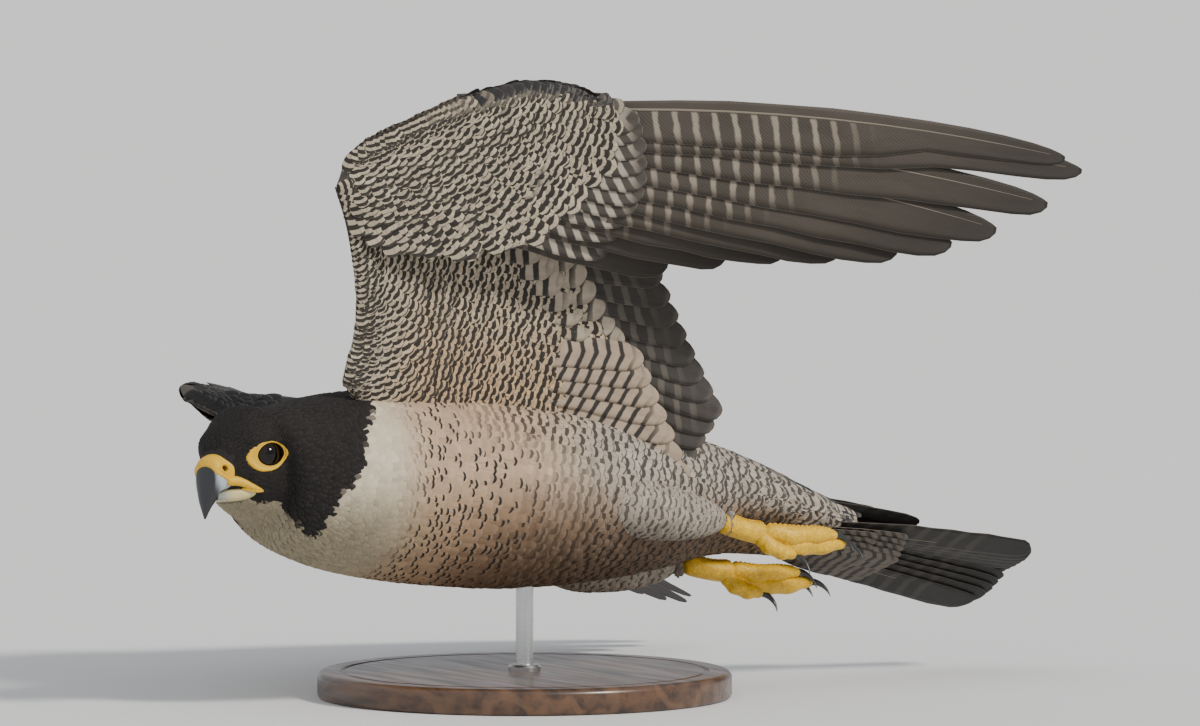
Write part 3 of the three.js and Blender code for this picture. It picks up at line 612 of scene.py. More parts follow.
def merge(parts):
    """Joins (points, faces, values) parts into one set of points, faces and values."""
    points, blocks, values, start = [], {}, {}, 0
    for part_points, part_faces, part_values in parts:
        points.append(part_points)
        for block in part_faces:
            blocks.setdefault(block.shape[1], []).append(block + start)
        for key, data in part_values.items():
            values.setdefault(key, []).append(np.asarray(data, float))
        start += len(part_points)
    return (np.concatenate(points), [np.concatenate(same) for same in blocks.values()],
            {key: np.concatenate(data) for key, data in values.items()})


# Outlines of small and long feathers: share of the length, share of the width
FEATHER_SHAPES = {
    "fine": ((0, 0.45), (0.4, 1.0), (0.75, 0.9), (1, 0.3)),
    "body": ((0, 0.45), (0.25, 0.85), (0.5, 1.0), (0.76, 1.0), (0.93, 0.78), (1, 0.36)),
}


def coat(sheet, a, b, toward, length, width, lift, rng, shape="body", across=5):
    """Small closed feathers rooted at grid places of a sheet, lying the given way over it."""
    outline = np.array(FEATHER_SHAPES[shape])
    count, rows = len(a), len(outline)
    normal = sheet.normal(a, b)
    ta = sheet.at(a + 0.5, b) - sheet.at(a - 0.5, b)
    tb = sheet.at(a, b + 0.5) - sheet.at(a, b - 0.5)
    way = unit(toward - normal * (toward * normal).sum(-1, keepdims=True))
    side = np.cross(normal, way)
    way = unit(way + side * rng.normal(0, 0.09, count)[:, None])
    aa, ab, bb = (ta * ta).sum(-1), (ta * tb).sum(-1), (tb * tb).sum(-1)
    wa, wb = (way * ta).sum(-1), (way * tb).sum(-1)
    scale = np.maximum(aa * bb - ab * ab, 1e-9)
    da, db = (wa * bb - wb * ab) / scale, (wb * aa - wa * ab) / scale
    length = length * rng.uniform(0.9, 1.12, count)
    width = width * rng.uniform(0.92, 1.1, count)
    s = outline[:, 0][None, :]
    reach = length[:, None] * s
    sa, sb = a[:, None] + da[:, None] * reach, b[:, None] + db[:, None] * reach
    height = lerp(lift[0], lift[1], s) + rng.normal(0, 0.06, count)[:, None] * s * np.abs(lift[1])
    centre = sheet.at(sa, sb)
    up = sheet.normal(sa, sb)
    centre = centre + up * height[..., None]
    along = unit(np.gradient(centre, axis=1))
    aside = unit(np.cross(up, along))
    x = np.linspace(-1, 1, across)
    half = width[:, None] * outline[:, 1][None, :] / 2
    # The vane is cupped, with a slight rib along its middle
    curve = -0.12 * half[..., None] * x ** 2 + 0.05 * half[..., None] * (x == 0)
    points = centre[:, :, None] + aside[:, :, None] * (half[..., None] * x)[..., None]
    points = points + up[:, :, None] * curve[..., None]
    grid = grid_faces(rows, across)
    i = np.arange(rows - 1) * across
    under = np.stack((i + across - 1, i, i + across, i + 2 * across - 1), -1)
    root_cap, tip_cap = np.arange(across)[None], ((rows - 1) * across + np.arange(across))[None, ::-1]
    faces = repeated((np.concatenate((grid[:, ::-1], under)), root_cap, tip_cap), count, rows * across)
    v = np.broadcast_to(outline[:, 0][None, :, None], (count, rows, across))
    u = np.broadcast_to((0.5 + 0.5 * x)[None, None, :], (count, rows, across))
    vane = np.stack((u, v), -1).reshape(-1, 2)
    # Every small feather has a patch of its own in the bake map, at its root's place
    bake = 0.01 + 0.975 * np.clip(sheet.share(a, b), 0, 1)[:, None, None] + 0.003 * np.stack((u, v), -1)
    return points.reshape(-1, 3), faces, {"vane": vane, "OFBake": bake.reshape(-1, 2)}, rows * across


def coat_values(tint, marks, each):
    """The colours and marks of small feathers, given to each of their points."""
    return {key: np.repeat(data, each, axis=0) for key, data in (("tint", tint), ("marks", marks))}


# Places of a long feather's points along it and across it, and the widths of its vanes along it
VANE_STATIONS = np.array(
    (0, 0.06, 0.14, 0.24, 0.34, 0.44, 0.54, 0.64, 0.73, 0.81, 0.88, 0.935, 0.97, 0.99, 1.0))
VANE_ACROSS = np.array((-1, -0.66, -0.3, 0, 0.2, 0.4, 0.6, 0.8, 1.0))
INNER_WIDTH = (
    (0, 0.55), (0.14, 0.85), (0.4, 1), (0.66, 0.95), (0.82, 0.82), (0.92, 0.68), (0.97, 0.5), (0.99, 0.32),
    (1, 0.12),
)
VANE_WIDTHS = {
    "flight": ((0, 0.5), (0.14, 0.8), (0.34, 0.95), (0.7, 1), (0.88, 0.86), (0.935, 0.72), (0.97, 0.52),
               (0.99, 0.3), (1, 0.1)),
    "covert": ((0, 0.6), (0.3, 0.9), (0.7, 1), (0.85, 0.93), (0.935, 0.74), (0.97, 0.55), (0.99, 0.34),
               (1, 0.12)),
    "tail": ((0, 0.6), (0.3, 0.95), (0.75, 1), (0.92, 0.93), (0.96, 0.8), (0.985, 0.55), (1, 0.25)),
}


def vanes(plane, root, tip, outer, inner, tilt, lift, rng, bow=0.0, twist=0.0, outer_way=1.0, widths="flight",
          thick=0.45, sag=0.03, notch=None):
    """Long feathers as closed vanes with a raised shaft, set in a wing's or the tail's plane."""
    root, tip = np.atleast_2d(np.asarray(root, float)), np.atleast_2d(np.asarray(tip, float))
    count = len(root)
    full = lambda value: np.broadcast_to(np.asarray(value, float), (count,))
    outer, inner, tilt, bow, twist, outer_way = (full(v) for v in (outer, inner, tilt, bow, twist, outer_way))
    lift = np.broadcast_to(np.asarray(lift, float), (count, 2))
    along = tip - root
    length = np.linalg.norm(along, axis=1)
    side = np.stack((along[:, 1], -along[:, 0]), -1) / length[:, None] * outer_way[:, None]
    s = VANE_STATIONS
    width = look_up(VANE_WIDTHS[widths], s)
    x = VANE_ACROSS
    inner_width = look_up(INNER_WIDTH, s) if widths == "flight" else width
    reach = np.where(x < 0, outer[:, None, None] * -x * width[None, :, None],
                     -inner[:, None, None] * x * inner_width[None, :, None])
    if notch is not None:
        reach = reach * (1 - notch[:, None, None] * step(0.6, 0.72, s)[None, :, None] * (x > 0)[None, None])
    waves, phase = rng.uniform(20, 34, count)[:, None, None], rng.uniform(0, 6, count)[:, None, None]
    wave = 1 + 0.03 * np.sin(s[None, :, None] * waves + phase)
    reach = reach * np.where(np.abs(x) > 0.9, wave, 1)
    arc = bow[:, None] * 4 * s * (1 - s)
    middle = root[:, None] + along[:, None] * s[None, :, None] + side[:, None] * arc[..., None]
    flat = middle[:, :, None] + side[:, None, None] * reach[..., None]
    rise = lerp(lift[:, :1], lift[:, 1:], s[None]) + twist[:, None] * s[None] ** 2
    arch = sag * (np.abs(reach) * (1 - np.abs(x)))
    level = rise[..., None] + tilt[:, None, None] * reach + arch
    half = thick / 2 * np.interp(np.abs(x), (0, 0.7, 1), (1, 0.8, 0.35))
    half = half * np.interp(s, (0, 0.9, 1), (1, 0.8, 0.5))[:, None]
    top = plane(flat[..., 0], flat[..., 1], level + half)
    under = plane(flat[..., 0], flat[..., 1], level - half)
    rows, columns = len(s), len(x)
    ring = np.concatenate((top, under[:, :, ::-1]), 2)
    each = rows * columns * 2
    band = grid_faces(rows, columns * 2, closed=True)
    cap = np.arange(columns - 1)
    close = np.stack((cap, cap + 1, 2 * columns - 2 - cap, 2 * columns - 1 - cap), -1)
    last = (rows - 1) * columns * 2
    base = outward(ring[0].reshape(-1, 3), [np.concatenate((band, close[:, ::-1], close + last))])[0]
    faces = repeated([base], count, each)
    u = np.interp(x, (-1, 0, 1), (0, SHAFT_AT, 1))
    u = np.broadcast_to(np.concatenate((u, u[::-1]))[None, None], (count, rows, columns * 2))
    v = np.broadcast_to(s[None, :, None], (count, rows, columns * 2))
    below = np.broadcast_to((np.arange(columns * 2) >= columns).astype(float)[None, None], u.shape)
    seed = np.broadcast_to(rng.uniform(0, 1, count)[:, None, None], u.shape)
    order = np.broadcast_to(np.arange(count)[:, None, None], u.shape)
    blades = (ring.reshape(-1, 3), faces, {
        "vane": np.stack((u, v), -1).reshape(-1, 2), "below": below.ravel(), "seed": seed.ravel(),
        "order": order.ravel(), "shaft": np.zeros(u.size), "length": np.repeat(length, each)})
    # The shaft, as a thin six-sided tube that stands a little off both faces
    sides = 6
    turn_round = np.arange(sides) / sides * 2 * math.pi
    stem = slice(0, rows - 2)
    thinning = np.interp(s[stem], (0, 0.5, 1), (0.95, 0.6, 0.16))
    radius = np.clip(length[:, None] / 190, 0.28, 1.0) * thinning
    mid_level = (rise + arch[..., 3])[:, stem]
    aside = radius[..., None] * np.cos(turn_round)
    around_flat = middle[:, stem, None] + side[:, None, None] * aside[..., None]
    around_level = mid_level[..., None] + 0.85 * radius[..., None] * np.sin(turn_round)
    tube = plane(around_flat[..., 0], around_flat[..., 1], around_level)
    stem_rows = tube.shape[1]
    stem_each = stem_rows * sides
    hexagon = np.arange(sides)[None]
    stem_faces = outward(tube[0].reshape(-1, 3), [
        grid_faces(stem_rows, sides, closed=True), hexagon[:, ::-1], hexagon + (stem_rows - 1) * sides])
    stem_faces = repeated(stem_faces, count, stem_each)
    stem_v = np.broadcast_to(s[stem][None, :, None], (count, stem_rows, sides))
    stem_below = np.broadcast_to(np.sin(turn_round) < 0, stem_v.shape).ravel().astype(float)
    size = count * stem_each
    stems = (tube.reshape(-1, 3), stem_faces, {
        "vane": np.stack((np.full(size, SHAFT_AT), stem_v.ravel()), -1), "below": stem_below,
        "seed": np.repeat(seed[:, 0, 0], stem_each), "order": np.repeat(np.arange(count), stem_each),
        "shaft": np.ones(size), "length": np.repeat(length, stem_each)})
    return merge((blades, stems))


# Finishes

class Finish:
    """A material's node tree, with short calls for the nodes that the finishes share."""

    def __init__(self, name, roughness=0.6, **shader):
        self.material = bpy.data.materials.new(name)
        self.material.use_nodes = True
        self.nodes = self.material.node_tree.nodes
        self.links = self.material.node_tree.links
        self.shader = next(node for node in self.nodes if node.type == "BSDF_PRINCIPLED")
        self.shader.inputs["Roughness"].default_value = roughness
        for key, value in shader.items():
            self.shader.inputs[key.replace("_", " ")].default_value = value

    def put(self, socket, value):
        if isinstance(value, bpy.types.NodeSocket):
            self.links.new(value, socket)
        elif hasattr(socket.default_value, "__len__") and not hasattr(value, "__len__"):
            socket.default_value = (value,) * len(socket.default_value)
        elif hasattr(value, "__len__") and len(socket.default_value) == 4 and len(value) == 3:
            socket.default_value = (*value, 1)
        else:
            socket.default_value = value

    def math(self, operation, *values):
        node = self.nodes.new("ShaderNodeMath")
        node.operation = operation
        for socket, value in zip(node.inputs, values):
            self.put(socket, value)
        return node.outputs[0]

    def times(self, *values):
        product = values[0]
        for value in values[1:]:
            product = self.math("MULTIPLY", product, value)
        return product

    def fitted(self, value, by, plus):
        return self.math("MULTIPLY_ADD", value, by, plus)

    def larger(self, first, second):
        return self.math("MAXIMUM", first, second)

    def away(self, value, start):
        return self.math("ABSOLUTE", self.math("SUBTRACT", value, start))

    def mix(self, factor, first, second, blend="MIX"):
        node = self.nodes.new("ShaderNodeMix")
        node.data_type, node.blend_type = "RGBA", blend
        for index, value in ((0, factor), (6, first), (7, second)):
            self.put(node.inputs[index], value)
        return node.outputs[2]

    def tinted(self, colour, by):
        return self.mix(1.0, colour, by, "MULTIPLY")

    def darker(self, share, colour, by):
        return self.mix(share, colour, self.tinted(colour, by))

    def ramp(self, value, low, high, to_low=0.0, to_high=1.0):
        node = self.nodes.new("ShaderNodeMapRange")
        node.interpolation_type = "SMOOTHSTEP"
        for index, item in enumerate((value, low, high, to_low, to_high)):
            self.put(node.inputs[index], item)
        return node.outputs[0]

    def uv(self, name):
        node = self.nodes.new("ShaderNodeUVMap")
        node.uv_map = name
        return self.split(node.outputs[0])

    def split(self, vector):
        node = self.nodes.new("ShaderNodeSeparateXYZ")
        self.put(node.inputs[0], vector)
        return node.outputs

    def join(self, x=0.0, y=0.0, z=0.0):
        node = self.nodes.new("ShaderNodeCombineXYZ")
        for socket, value in zip(node.inputs, (x, y, z)):
            self.put(socket, value)
        return node.outputs[0]

    def attribute(self, name, output="Fac"):
        node = self.nodes.new("ShaderNodeAttribute")
        node.attribute_name = name
        return node.outputs[output]

    def place(self):
        return self.nodes.new("ShaderNodeTexCoord").outputs["Object"]

    def noise(self, vector, scale, detail=3.0, roughness=0.55):
        node = self.nodes.new("ShaderNodeTexNoise")
        settings = {"Vector": vector, "Scale": scale, "Detail": detail, "Roughness": roughness}
        for key, value in settings.items():
            self.put(node.inputs[key], value)
        return node.outputs[0]

    def stretched(self, parts, by, *settings):
        """Noise over a place whose parts are each scaled by their own number."""
        return self.noise(self.join(*map(self.times, parts, by)), *settings)

    def cells(self, vector, scale):
        node = self.nodes.new("ShaderNodeTexVoronoi")
        self.put(node.inputs["Vector"], vector)
        self.put(node.inputs["Scale"], scale)
        return node.outputs[0]

    def finish(self, colour, height=None, strength=0.3, distance=0.0003, roughness=None):
        self.put(self.shader.inputs["Base Color"], colour)
        if roughness is not None:
            self.put(self.shader.inputs["Roughness"], roughness)
        if height is not None:
            bump = self.nodes.new("ShaderNodeBump")
            bump.inputs["Strength"].default_value = strength
            bump.inputs["Distance"].default_value = distance
            self.put(bump.inputs["Height"], height)
            self.put(self.shader.inputs["Normal"], bump.outputs[0])
        return self.material


def barbs(f, u, v, slope, lines, middle):
    """Fine slanting lines that run out from a feather's shaft, from 0 to 1."""
    run = f.math("SUBTRACT", v, f.times(f.away(u, middle), slope))
    wobble = f.times(f.stretched((u, v), (3.0, 9.0), 1.0), 0.02)
    wave = f.math("SINE", f.times(f.math("ADD", run, wobble), lines * 2 * math.pi))
    return f.fitted(wave, 0.5, 0.5)


def coat_finish(dark):
    """Small feathers: a base colour for each, with bars, a crescent and a fringe as its marks say."""
    f = Finish("small_feathers", 0.78, Specular_IOR_Level=0.2)
    u, v, _ = f.uv("vane")
    tint = f.attribute("tint", "Color")
    fringe = f.attribute("tint", "Alpha")
    bars, count, spots = f.split(f.attribute("marks", "Vector"))
    across = f.math("ABSOLUTE", f.fitted(u, 2.0, -1.0))
    rough = f.fitted(f.noise(f.place(), 210.0, 2.0), 2.0, -1.0)
    run = f.fitted(rough, 0.05, f.fitted(f.times(across, across), 0.10, v))
    wave = f.math("SINE", f.times(run, f.times(count, 20 * math.pi)))
    # Bars across the vane, one crescent near its end, and a dark shaft where there are marks
    thin = f.math("ADD", f.math("MINIMUM", spots, 0.0), 0.12)
    bar = f.times(f.ramp(wave, thin, f.math("ADD", thin, 0.36)), bars)
    wide = f.ramp(f.fitted(rough, 0.2, across), 0.62, 0.92, 1.0, 0.0)
    crescent = f.times(f.ramp(f.away(run, 0.86), 0.032, 0.062, 1.0, 0.0), wide, spots)
    shaft = f.ramp(across, 0.02, 0.12, 0.3, 0.0)
    mark = f.larger(f.larger(bar, crescent), f.times(shaft, f.larger(bars, spots)))
    lines = barbs(f, u, v, 0.55, 15.0, 0.5)
    base = f.darker(f.times(lines, 0.3), tint, (0.66, 0.64, 0.62))
    mottled = f.darker(f.times(f.noise(f.place(), 90.0, 4.0), 0.35), base, (0.6, 0.57, 0.53))
    marked = f.mix(mark, mottled, dark)
    edge = f.times(f.ramp(f.larger(v, f.times(across, 0.97)), 0.86, 0.99), fringe)
    return f.finish(f.mix(edge, marked, f.mix(0.5, marked, (0.6, 0.54, 0.46))), lines, 0.4, 0.0001)


def flight_finish(name, upper, lower, bar, tip, wave_length, narrow, slant, inner_bars, under_bars, until,
                  faded):
    """Long feathers: a colour for each face, bars on the inner or both vanes, and a tip of another colour.

    Bars repeat each wave_length millimetres, are thinner as narrow nears 1, lean by slant, and fade out
    past until.
    """
    f = Finish(name, 0.55, Specular_IOR_Level=0.3)
    u, v, _ = f.uv("vane")
    below, seed, shaft = f.attribute("below"), f.attribute("seed"), f.attribute("shaft")
    # Bars, which fade towards the inner edge and past until, and are strongest on the lower face
    rough = f.fitted(f.noise(f.place(), 150.0, 3.0), 2.0, -1.0)
    run = f.fitted(f.away(u, SHAFT_AT), -slant, f.times(v, f.attribute("length")))
    run = f.fitted(rough, 0.16 * wave_length, run)
    wave = f.math("SINE", f.fitted(run, 2 * math.pi / wave_length, f.times(seed, 1.8)))
    on_inner = f.times(f.ramp(u, 0.31, 0.36), f.ramp(u, 0.72, 0.95, 1.0, 0.35), inner_bars)
    strength = f.larger(on_inner, f.times(below, under_bars))
    reach = f.ramp(v, until - 0.14, until, 1.0, 0.0)
    mark = f.times(f.ramp(wave, narrow - 0.3, narrow + 0.3), f.times(strength, reach))
    mark = f.times(mark, f.fitted(below, 0.6, 0.4))
    # The vane's own colour, darker in drifts and between the barbs, with painted shade towards the inner
    # edge, where the feathers overlap
    seen = f.mix(below, upper, lower)
    drift = f.stretched((u, v, seed), (2.0, 6.0, 40.0), 1.3)
    lines = barbs(f, u, v, 0.12, 120.0, SHAFT_AT)
    for share, by in (
        (f.ramp(drift, 0.35, 0.75, 0.0, 0.45), (0.5, 0.48, 0.46)),
        # Painted shade towards the inner edge
        (f.ramp(u, 0.7, 1.0, 0.0, 0.5), (0.5, 0.48, 0.46)),
        (f.times(lines, 0.22), (0.5, 0.49, 0.48)),
    ):
        seen = f.darker(share, seen, by)
    barred = f.mix(mark, seen, bar)
    tipped = f.mix(f.times(f.ramp(v, max(until, 0.6), 1.0), faded), barred, tip)
    edge = f.ramp(f.larger(u, f.math("SUBTRACT", 1.0, u)), 0.975, 0.998, 0.0, 0.22)
    edged = f.mix(edge, tipped, (0.36, 0.31, 0.26))
    colour = f.mix(shaft, edged, f.mix(below, (0.02, 0.016, 0.013), (0.2, 0.165, 0.125)))
    return f.finish(colour, f.times(lines, f.math("SUBTRACT", 1.0, shaft)), 0.45, 0.00015)


def skin_finish():
    f = Finish("skin_under_feathers", 0.85)
    grain = f.noise(f.place(), 700.0, 4.0)
    colour = f.darker(f.times(grain, 0.6), f.attribute("tint", "Color"), (0.35, 0.33, 0.32))
    return f.finish(colour, grain, 0.8, 0.0006)


def bare_skin_finish(name, colour, deep, scale, roughness=0.42):
    """Waxy bare skin with fine grain and a blotchy darker tone, and painted shade in the folds between its
    cells; the share deep sets how dark both go.
    """
    f = Finish(name, roughness, Specular_IOR_Level=0.5, Subsurface_Weight=0.12,
               Subsurface_Radius=(0.002, 0.001, 0.0004))
    shade = tuple(part * deep for part in colour)
    place = f.place()
    cell = f.cells(place, scale)
    tone = f.mix(f.ramp(f.noise(place, scale * 0.35, 4.0), 0.35, 0.75), colour, shade)
    # Painted shade: the cells' edges, the folds between the scales, are darker
    tone = f.mix(f.times(f.ramp(cell, 0.25, 0.7), 0.5), tone, f.tinted(shade, (0.75, 0.65, 0.5)))
    tone = f.tinted(tone, f.attribute("tint", "Color"))
    return f.finish(tone, f.math("SUBTRACT", 1.0, cell), 0.35, 0.0003)


def horn_finish(name):
    """Horn whose colour is painted on its points, with growth streaks and a worn satin face."""
    f = Finish(name, 0.28, Specular_IOR_Level=0.5, Coat_Weight=0.15, Coat_Roughness=0.2)
    streak = f.stretched(f.split(f.place()), (900.0, 300.0, 300.0), 1.0, 3.0)
    shown = f.times(f.ramp(streak, 0.4, 0.75), 0.3)
    colour = f.darker(shown, f.attribute("tint", "Color"), (0.55, 0.55, 0.58))
    return f.finish(colour, streak, 0.12, 0.0002, f.ramp(streak, 0.3, 0.8, 0.22, 0.42))


def eye_finish():
    f = Finish("wet_eye", 0.03, Specular_IOR_Level=0.22, Coat_Weight=0.25, Coat_Roughness=0.01)
    off = f.attribute("off_axis")
    streak = f.noise(f.place(), 900.0, 3.0)
    iris = f.mix(streak, (0.004, 0.0025, 0.0015), (0.014, 0.007, 0.004))
    colour = f.mix(f.ramp(off, 0.3, 0.36), (0.002, 0.002, 0.002), iris)
    colour = f.mix(f.ramp(off, 0.66, 0.74), colour, (0.008, 0.005, 0.004))
    return f.finish(colour)


def wood_finish():
    f = Finish("dark_turned_wood", 0.38, Specular_IOR_Level=0.5, Coat_Weight=0.35, Coat_Roughness=0.18)
    place = f.split(f.place())
    grain = f.stretched(place, (14.0, 160.0, 160.0), 1.0, 6.0, 0.62)
    rings = f.math("SINE", f.times(f.stretched(place, (5.0, 30.0, 30.0), 1.0, 2.0), 26.0))
    colour = f.mix(f.ramp(grain, 0.3, 0.7), (0.115, 0.055, 0.026), (0.03, 0.014, 0.008))
    colour = f.mix(f.ramp(rings, 0.2, 1.0, 0.0, 0.4), colour, (0.19, 0.095, 0.045))
    return f.finish(colour, grain, 0.2, 0.0002, f.ramp(grain, 0.3, 0.8, 0.3, 0.5))


def steel_finish():
    f = Finish("satin_steel", 0.3, Metallic=1.0)
    brushed = f.stretched(f.split(f.place()), (60.0, 60.0, 5000.0), 1.0, 2.0)
    colour = f.mix(brushed, (0.5, 0.51, 0.52), (0.68, 0.68, 0.67))
    return f.finish(colour, brushed, 0.1, 0.0001, f.ramp(brushed, 0.2, 0.8, 0.24, 0.4))


# Markings shared by the skin and the feathers

def body_marks(count, angle, rng):
    """Base colour, fringe, and bar and drop marks for places on the body, given along it and round it."""
    degrees = (np.degrees(angle) + 180) % 360 - 180
    folded = np.where(np.abs(degrees) > 90, np.sign(degrees) * 180 - degrees, degrees)
    size = count.shape
    wobble = rng.normal(0, 1.0, size)
    edge_at = look_up(HOOD_EDGE, count)
    hood = step(-2, 2, folded - edge_at + wobble * 1.4)
    hood = np.where(count > 8.2, 0, hood)
    back = step(-4, 4, folded - np.interp(count, (7.4, 9, 12, 13.2, 14), (66, 62, 54, 30, 8)) + wobble * 2.5)
    back = np.where(count < 7.4, hood, np.maximum(back, hood))
    below = step(-8, -60, folded)
    rear = step(8.6, 10.6, count)
    throat = step(8.6, 6.2, count)
    # Cream throat, buff breast and grey flanks; on the underside, a dark brown over the belly that is partly
    # its own colour and partly painted shade, and painted shade over the middle of the throat
    pale = np.array((0.68, 0.585, 0.44))
    for colour, share in (
        ((0.48, 0.315, 0.195), step(6.5, 7.6, count) * (0.8 + 0.2 * below)),
        ((0.41, 0.36, 0.30), rear * (1 - 0.7 * below)),
        ((0.135, 0.084, 0.05), step(7.4, 9.2, count) * below * 0.8),
        ((0.20, 0.17, 0.10), throat * below * 0.8),
    ):
        pale = lerp(pale, np.array(colour), share[..., None])
    hooded, slate = np.array((0.019, 0.0165, 0.0155)), np.array((0.034, 0.035, 0.039))
    dark = lerp(hooded, slate, step(7.5, 9.5, count)[..., None])
    tint = lerp(pale, dark, back[..., None])
    tint = tint * (1 + 0.07 * wobble[..., None])
    flank = np.clip(rear + step(7.6, 9.2, count) * step(-12, 20, folded), 0, 1)
    bars = (1 - back) * 0.88 * flank
    spots = (1 - back) * step(6.9, 7.5, count) * (1 - flank) * (rng.uniform(0, 1, size) > 0.36)
    fringe = np.where(back > 0.5, np.where(count > 8, 0.3, 0.03), 0.15)
    per_feather = np.interp(count, (7, 9, 12, 14), (0.27, 0.29, 0.34, 0.38))
    return (np.concatenate((np.clip(tint, 0.008, 1), fringe[..., None]), -1),
            np.stack((bars, per_feather, spots), -1))


def head_piece(name, surface, material, tint):
    """A painted piece from the points and faces of a surface in the head's frame."""
    return make_piece(name, from_head(surface[0]), surface[1], material, values={"tint": tint})


def solid_tint(size, colour, fringe=0.0, spread_of=0.0, rng=None):
    tint = np.broadcast_to(np.array((*colour, fringe), float), (size, 4)).copy()
    if rng is not None:
        tint[:, :3] *= 1 + rng.normal(0, spread_of, size)[:, None]
    return np.clip(tint, 0, 1)


def painted(colours, *ends):
    """Colours for a shell's points, then for the points that close its ends, with an alpha of 1."""
    colours = np.vstack((np.reshape(colours, (-1, 3)), *ends))
    return np.column_stack((colours, np.ones(len(colours))))


# Sizes and colours that a user may change

class FalconCoat(bpy.types.PropertyGroup):
    spacing: bpy.props.FloatProperty(
        name="Feather Spacing",
        description="Distance between the rows of small feathers, against the real bird's",
        default=1.0, min=0.6, max=2.0, subtype="FACTOR")
    seed: bpy.props.IntProperty(
        name="Seed", description="Seed of the small differences between feathers", default=11, min=0)
    dark: bpy.props.FloatVectorProperty(
        name="Marking Colour", description="Colour of the bars and drops", default=(0.022, 0.019, 0.017),
        size=3, min=0, max=1, subtype="COLOR")


class FalconBare(bpy.types.PropertyGroup):
    yellow: bpy.props.FloatVectorProperty(
        name="Bare Skin", description="Colour of cere, eye ring and feet", default=(0.88, 0.53, 0.012),
        size=3, min=0, max=1, subtype="COLOR")
    scute_length: bpy.props.FloatProperty(
        name="Scute Length", description="Length of the plates along the toes", default=0.0023,
        min=0.001, max=0.006, unit="LENGTH")


class FalconStage(bpy.types.PropertyGroup):
    floor: bpy.props.FloatVectorProperty(
        name="Floor", description="Colour of the studio floor", default=(0.74, 0.74, 0.73), size=3, min=0,
        max=1,
        subtype="COLOR")
    distance: bpy.props.FloatProperty(
        name="Camera Distance", description="From the camera to the bird", default=6.0, min=1, unit="LENGTH")
    key: bpy.props.FloatProperty(
        name="Key Light", description="Strength of the main light", default=3.0, min=0)


finishes = {}


def finish_for(key, make):
    if key not in finishes:
        finishes[key] = make()
    return finishes[key]


def small_feathers():
    return finish_for("coat", lambda: coat_finish(tuple(bpy.context.scene.falcon_coat.dark)))


class FALCON_OT_skin(bpy.types.Operator):
    """One skin for head, neck, body, legs and the flesh of the wings"""
    bl_idname = "falcon.skin"
    bl_label = "Skin"

    def execute(self, context):
        rng = np.random.default_rng(context.scene.falcon_coat.seed)
        body = body_sheet()
        rings = body.points[::2, :-1:2].copy()
        for side in (1, -1):
            out = HEAD_TURN @ eye_frame(side)[3]
            rings -= RING_PRESS * step(0.1, -1.3, beyond_ring(rings, side))[..., None] * out
        points, faces = shell(rings)
        counts, angles = (grid[::2, :-1:2] for grid in body_grid())
        tint, _ = body_marks(counts, angles, rng)
        tint = np.concatenate((tint.reshape(-1, 4), tint[0, :1], tint[-1, :1]))
        tint[:, :3] *= 0.6
        parts = [(points, faces, {"tint": tint})]
        for wing in WINGS.values():
            arm, hand, wrist_out, wrist_back = wing_planes(wing)
            for plane, stations in ((arm, arm_flesh(wrist_out, wrist_back)), (hand, HAND_FLESH)):
                points, faces = shell(wing_sheet(plane, stations).points[::2, ::2])
                parts.append((points, faces, {"tint": solid_tint(len(points), (0.12, 0.1, 0.085))}))
            thigh = limb_sheet(mirrored(THIGH_PATH, wing["side"]), THIGH_RADII, grow=-1.2)
            points, faces = shell(thigh.points[:, :-1])
            parts.append((points, faces, {"tint": solid_tint(len(points), (0.4, 0.36, 0.31))}))
        points, faces, values = merge(parts)
        skin = make_piece("skin", points, faces, skin_finish(), values=values)
        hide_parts("head", "neck", "torso", "leg_left", "leg_right")
        return {"FINISHED"}


def body_rows(sheet, first, last, places, gaps, fine):
    """Staggered places over the body between two sections, as grid rows and columns, and their gaps."""
    counts = np.linspace(first, last, 900)
    rows = counts / LAST * (BODY_ROWS - 1)
    quarter = (BODY_COLUMNS - 1) / 4
    travel = np.zeros(len(counts) - 1)
    for k in range(4):
        line = sheet.at(rows, np.full(len(rows), k * quarter))
        travel += np.linalg.norm(np.diff(line, axis=0), axis=1) / 4
    arc = np.concatenate(((0,), np.cumsum(travel)))
    a, b, size = [], [], []
    place, odd = 0.0, 0
    while place < arc[-1]:
        at = np.interp(place, arc, counts)
        gap = np.interp(at, places, gaps) * fine
        row = at / LAST * (BODY_ROWS - 1)
        girth = np.linalg.norm(np.diff(sheet.points[int(round(row))], axis=0), axis=1).sum()
        columns = max(8, int(girth / (gap * 0.95)))
        b.append((np.arange(columns) + 0.5 * odd) / columns * (BODY_COLUMNS - 1))
        a.append(np.full(columns, row))
        size.append(np.full(columns, gap))
        odd = 1 - odd
        place += gap
    return np.concatenate(a), np.concatenate(b), np.concatenate(size)


def eye_frame(side):
    """An eye's centre in the head's frame, and its ways ahead, up and out."""
    toe = math.radians(EYE_TOE_IN)
    out = np.array((side * math.cos(toe), -math.sin(toe), 0))
    ahead = np.array((-side * math.sin(toe), -math.cos(toe), 0))
    return mirrored(EYE_AT, side), ahead, np.array((0.0, 0, 1)), out


def beyond_ring(points, side):
    """How far points of the head lie outside an eye's ring of bare skin; negative inside it."""
    centre, ahead, up, out = eye_frame(side)
    local = to_head(points) - centre
    x, y = local @ ahead - OPENING_AT, local @ up
    reach = look_up(RING_REACH, np.degrees(np.arctan2(y, x)))
    return np.where(local @ out > 0, np.hypot(x, y) - reach, 99)


def beyond_mouth(points, side):
    """How far points of the head lie from the corner of the mouth."""
    local = to_head(points)
    path = catmull(mirrored(UPPER_LIP, side), np.linspace(0, 4, 30))
    return np.linalg.norm(local[:, None] - path[None], axis=-1).min(1)


# Width of a small feather, and the reach of its tip, against the gap between the rows
WIDTH_TO_GAP, TIP_TO_GAP = 1.62, 2.4


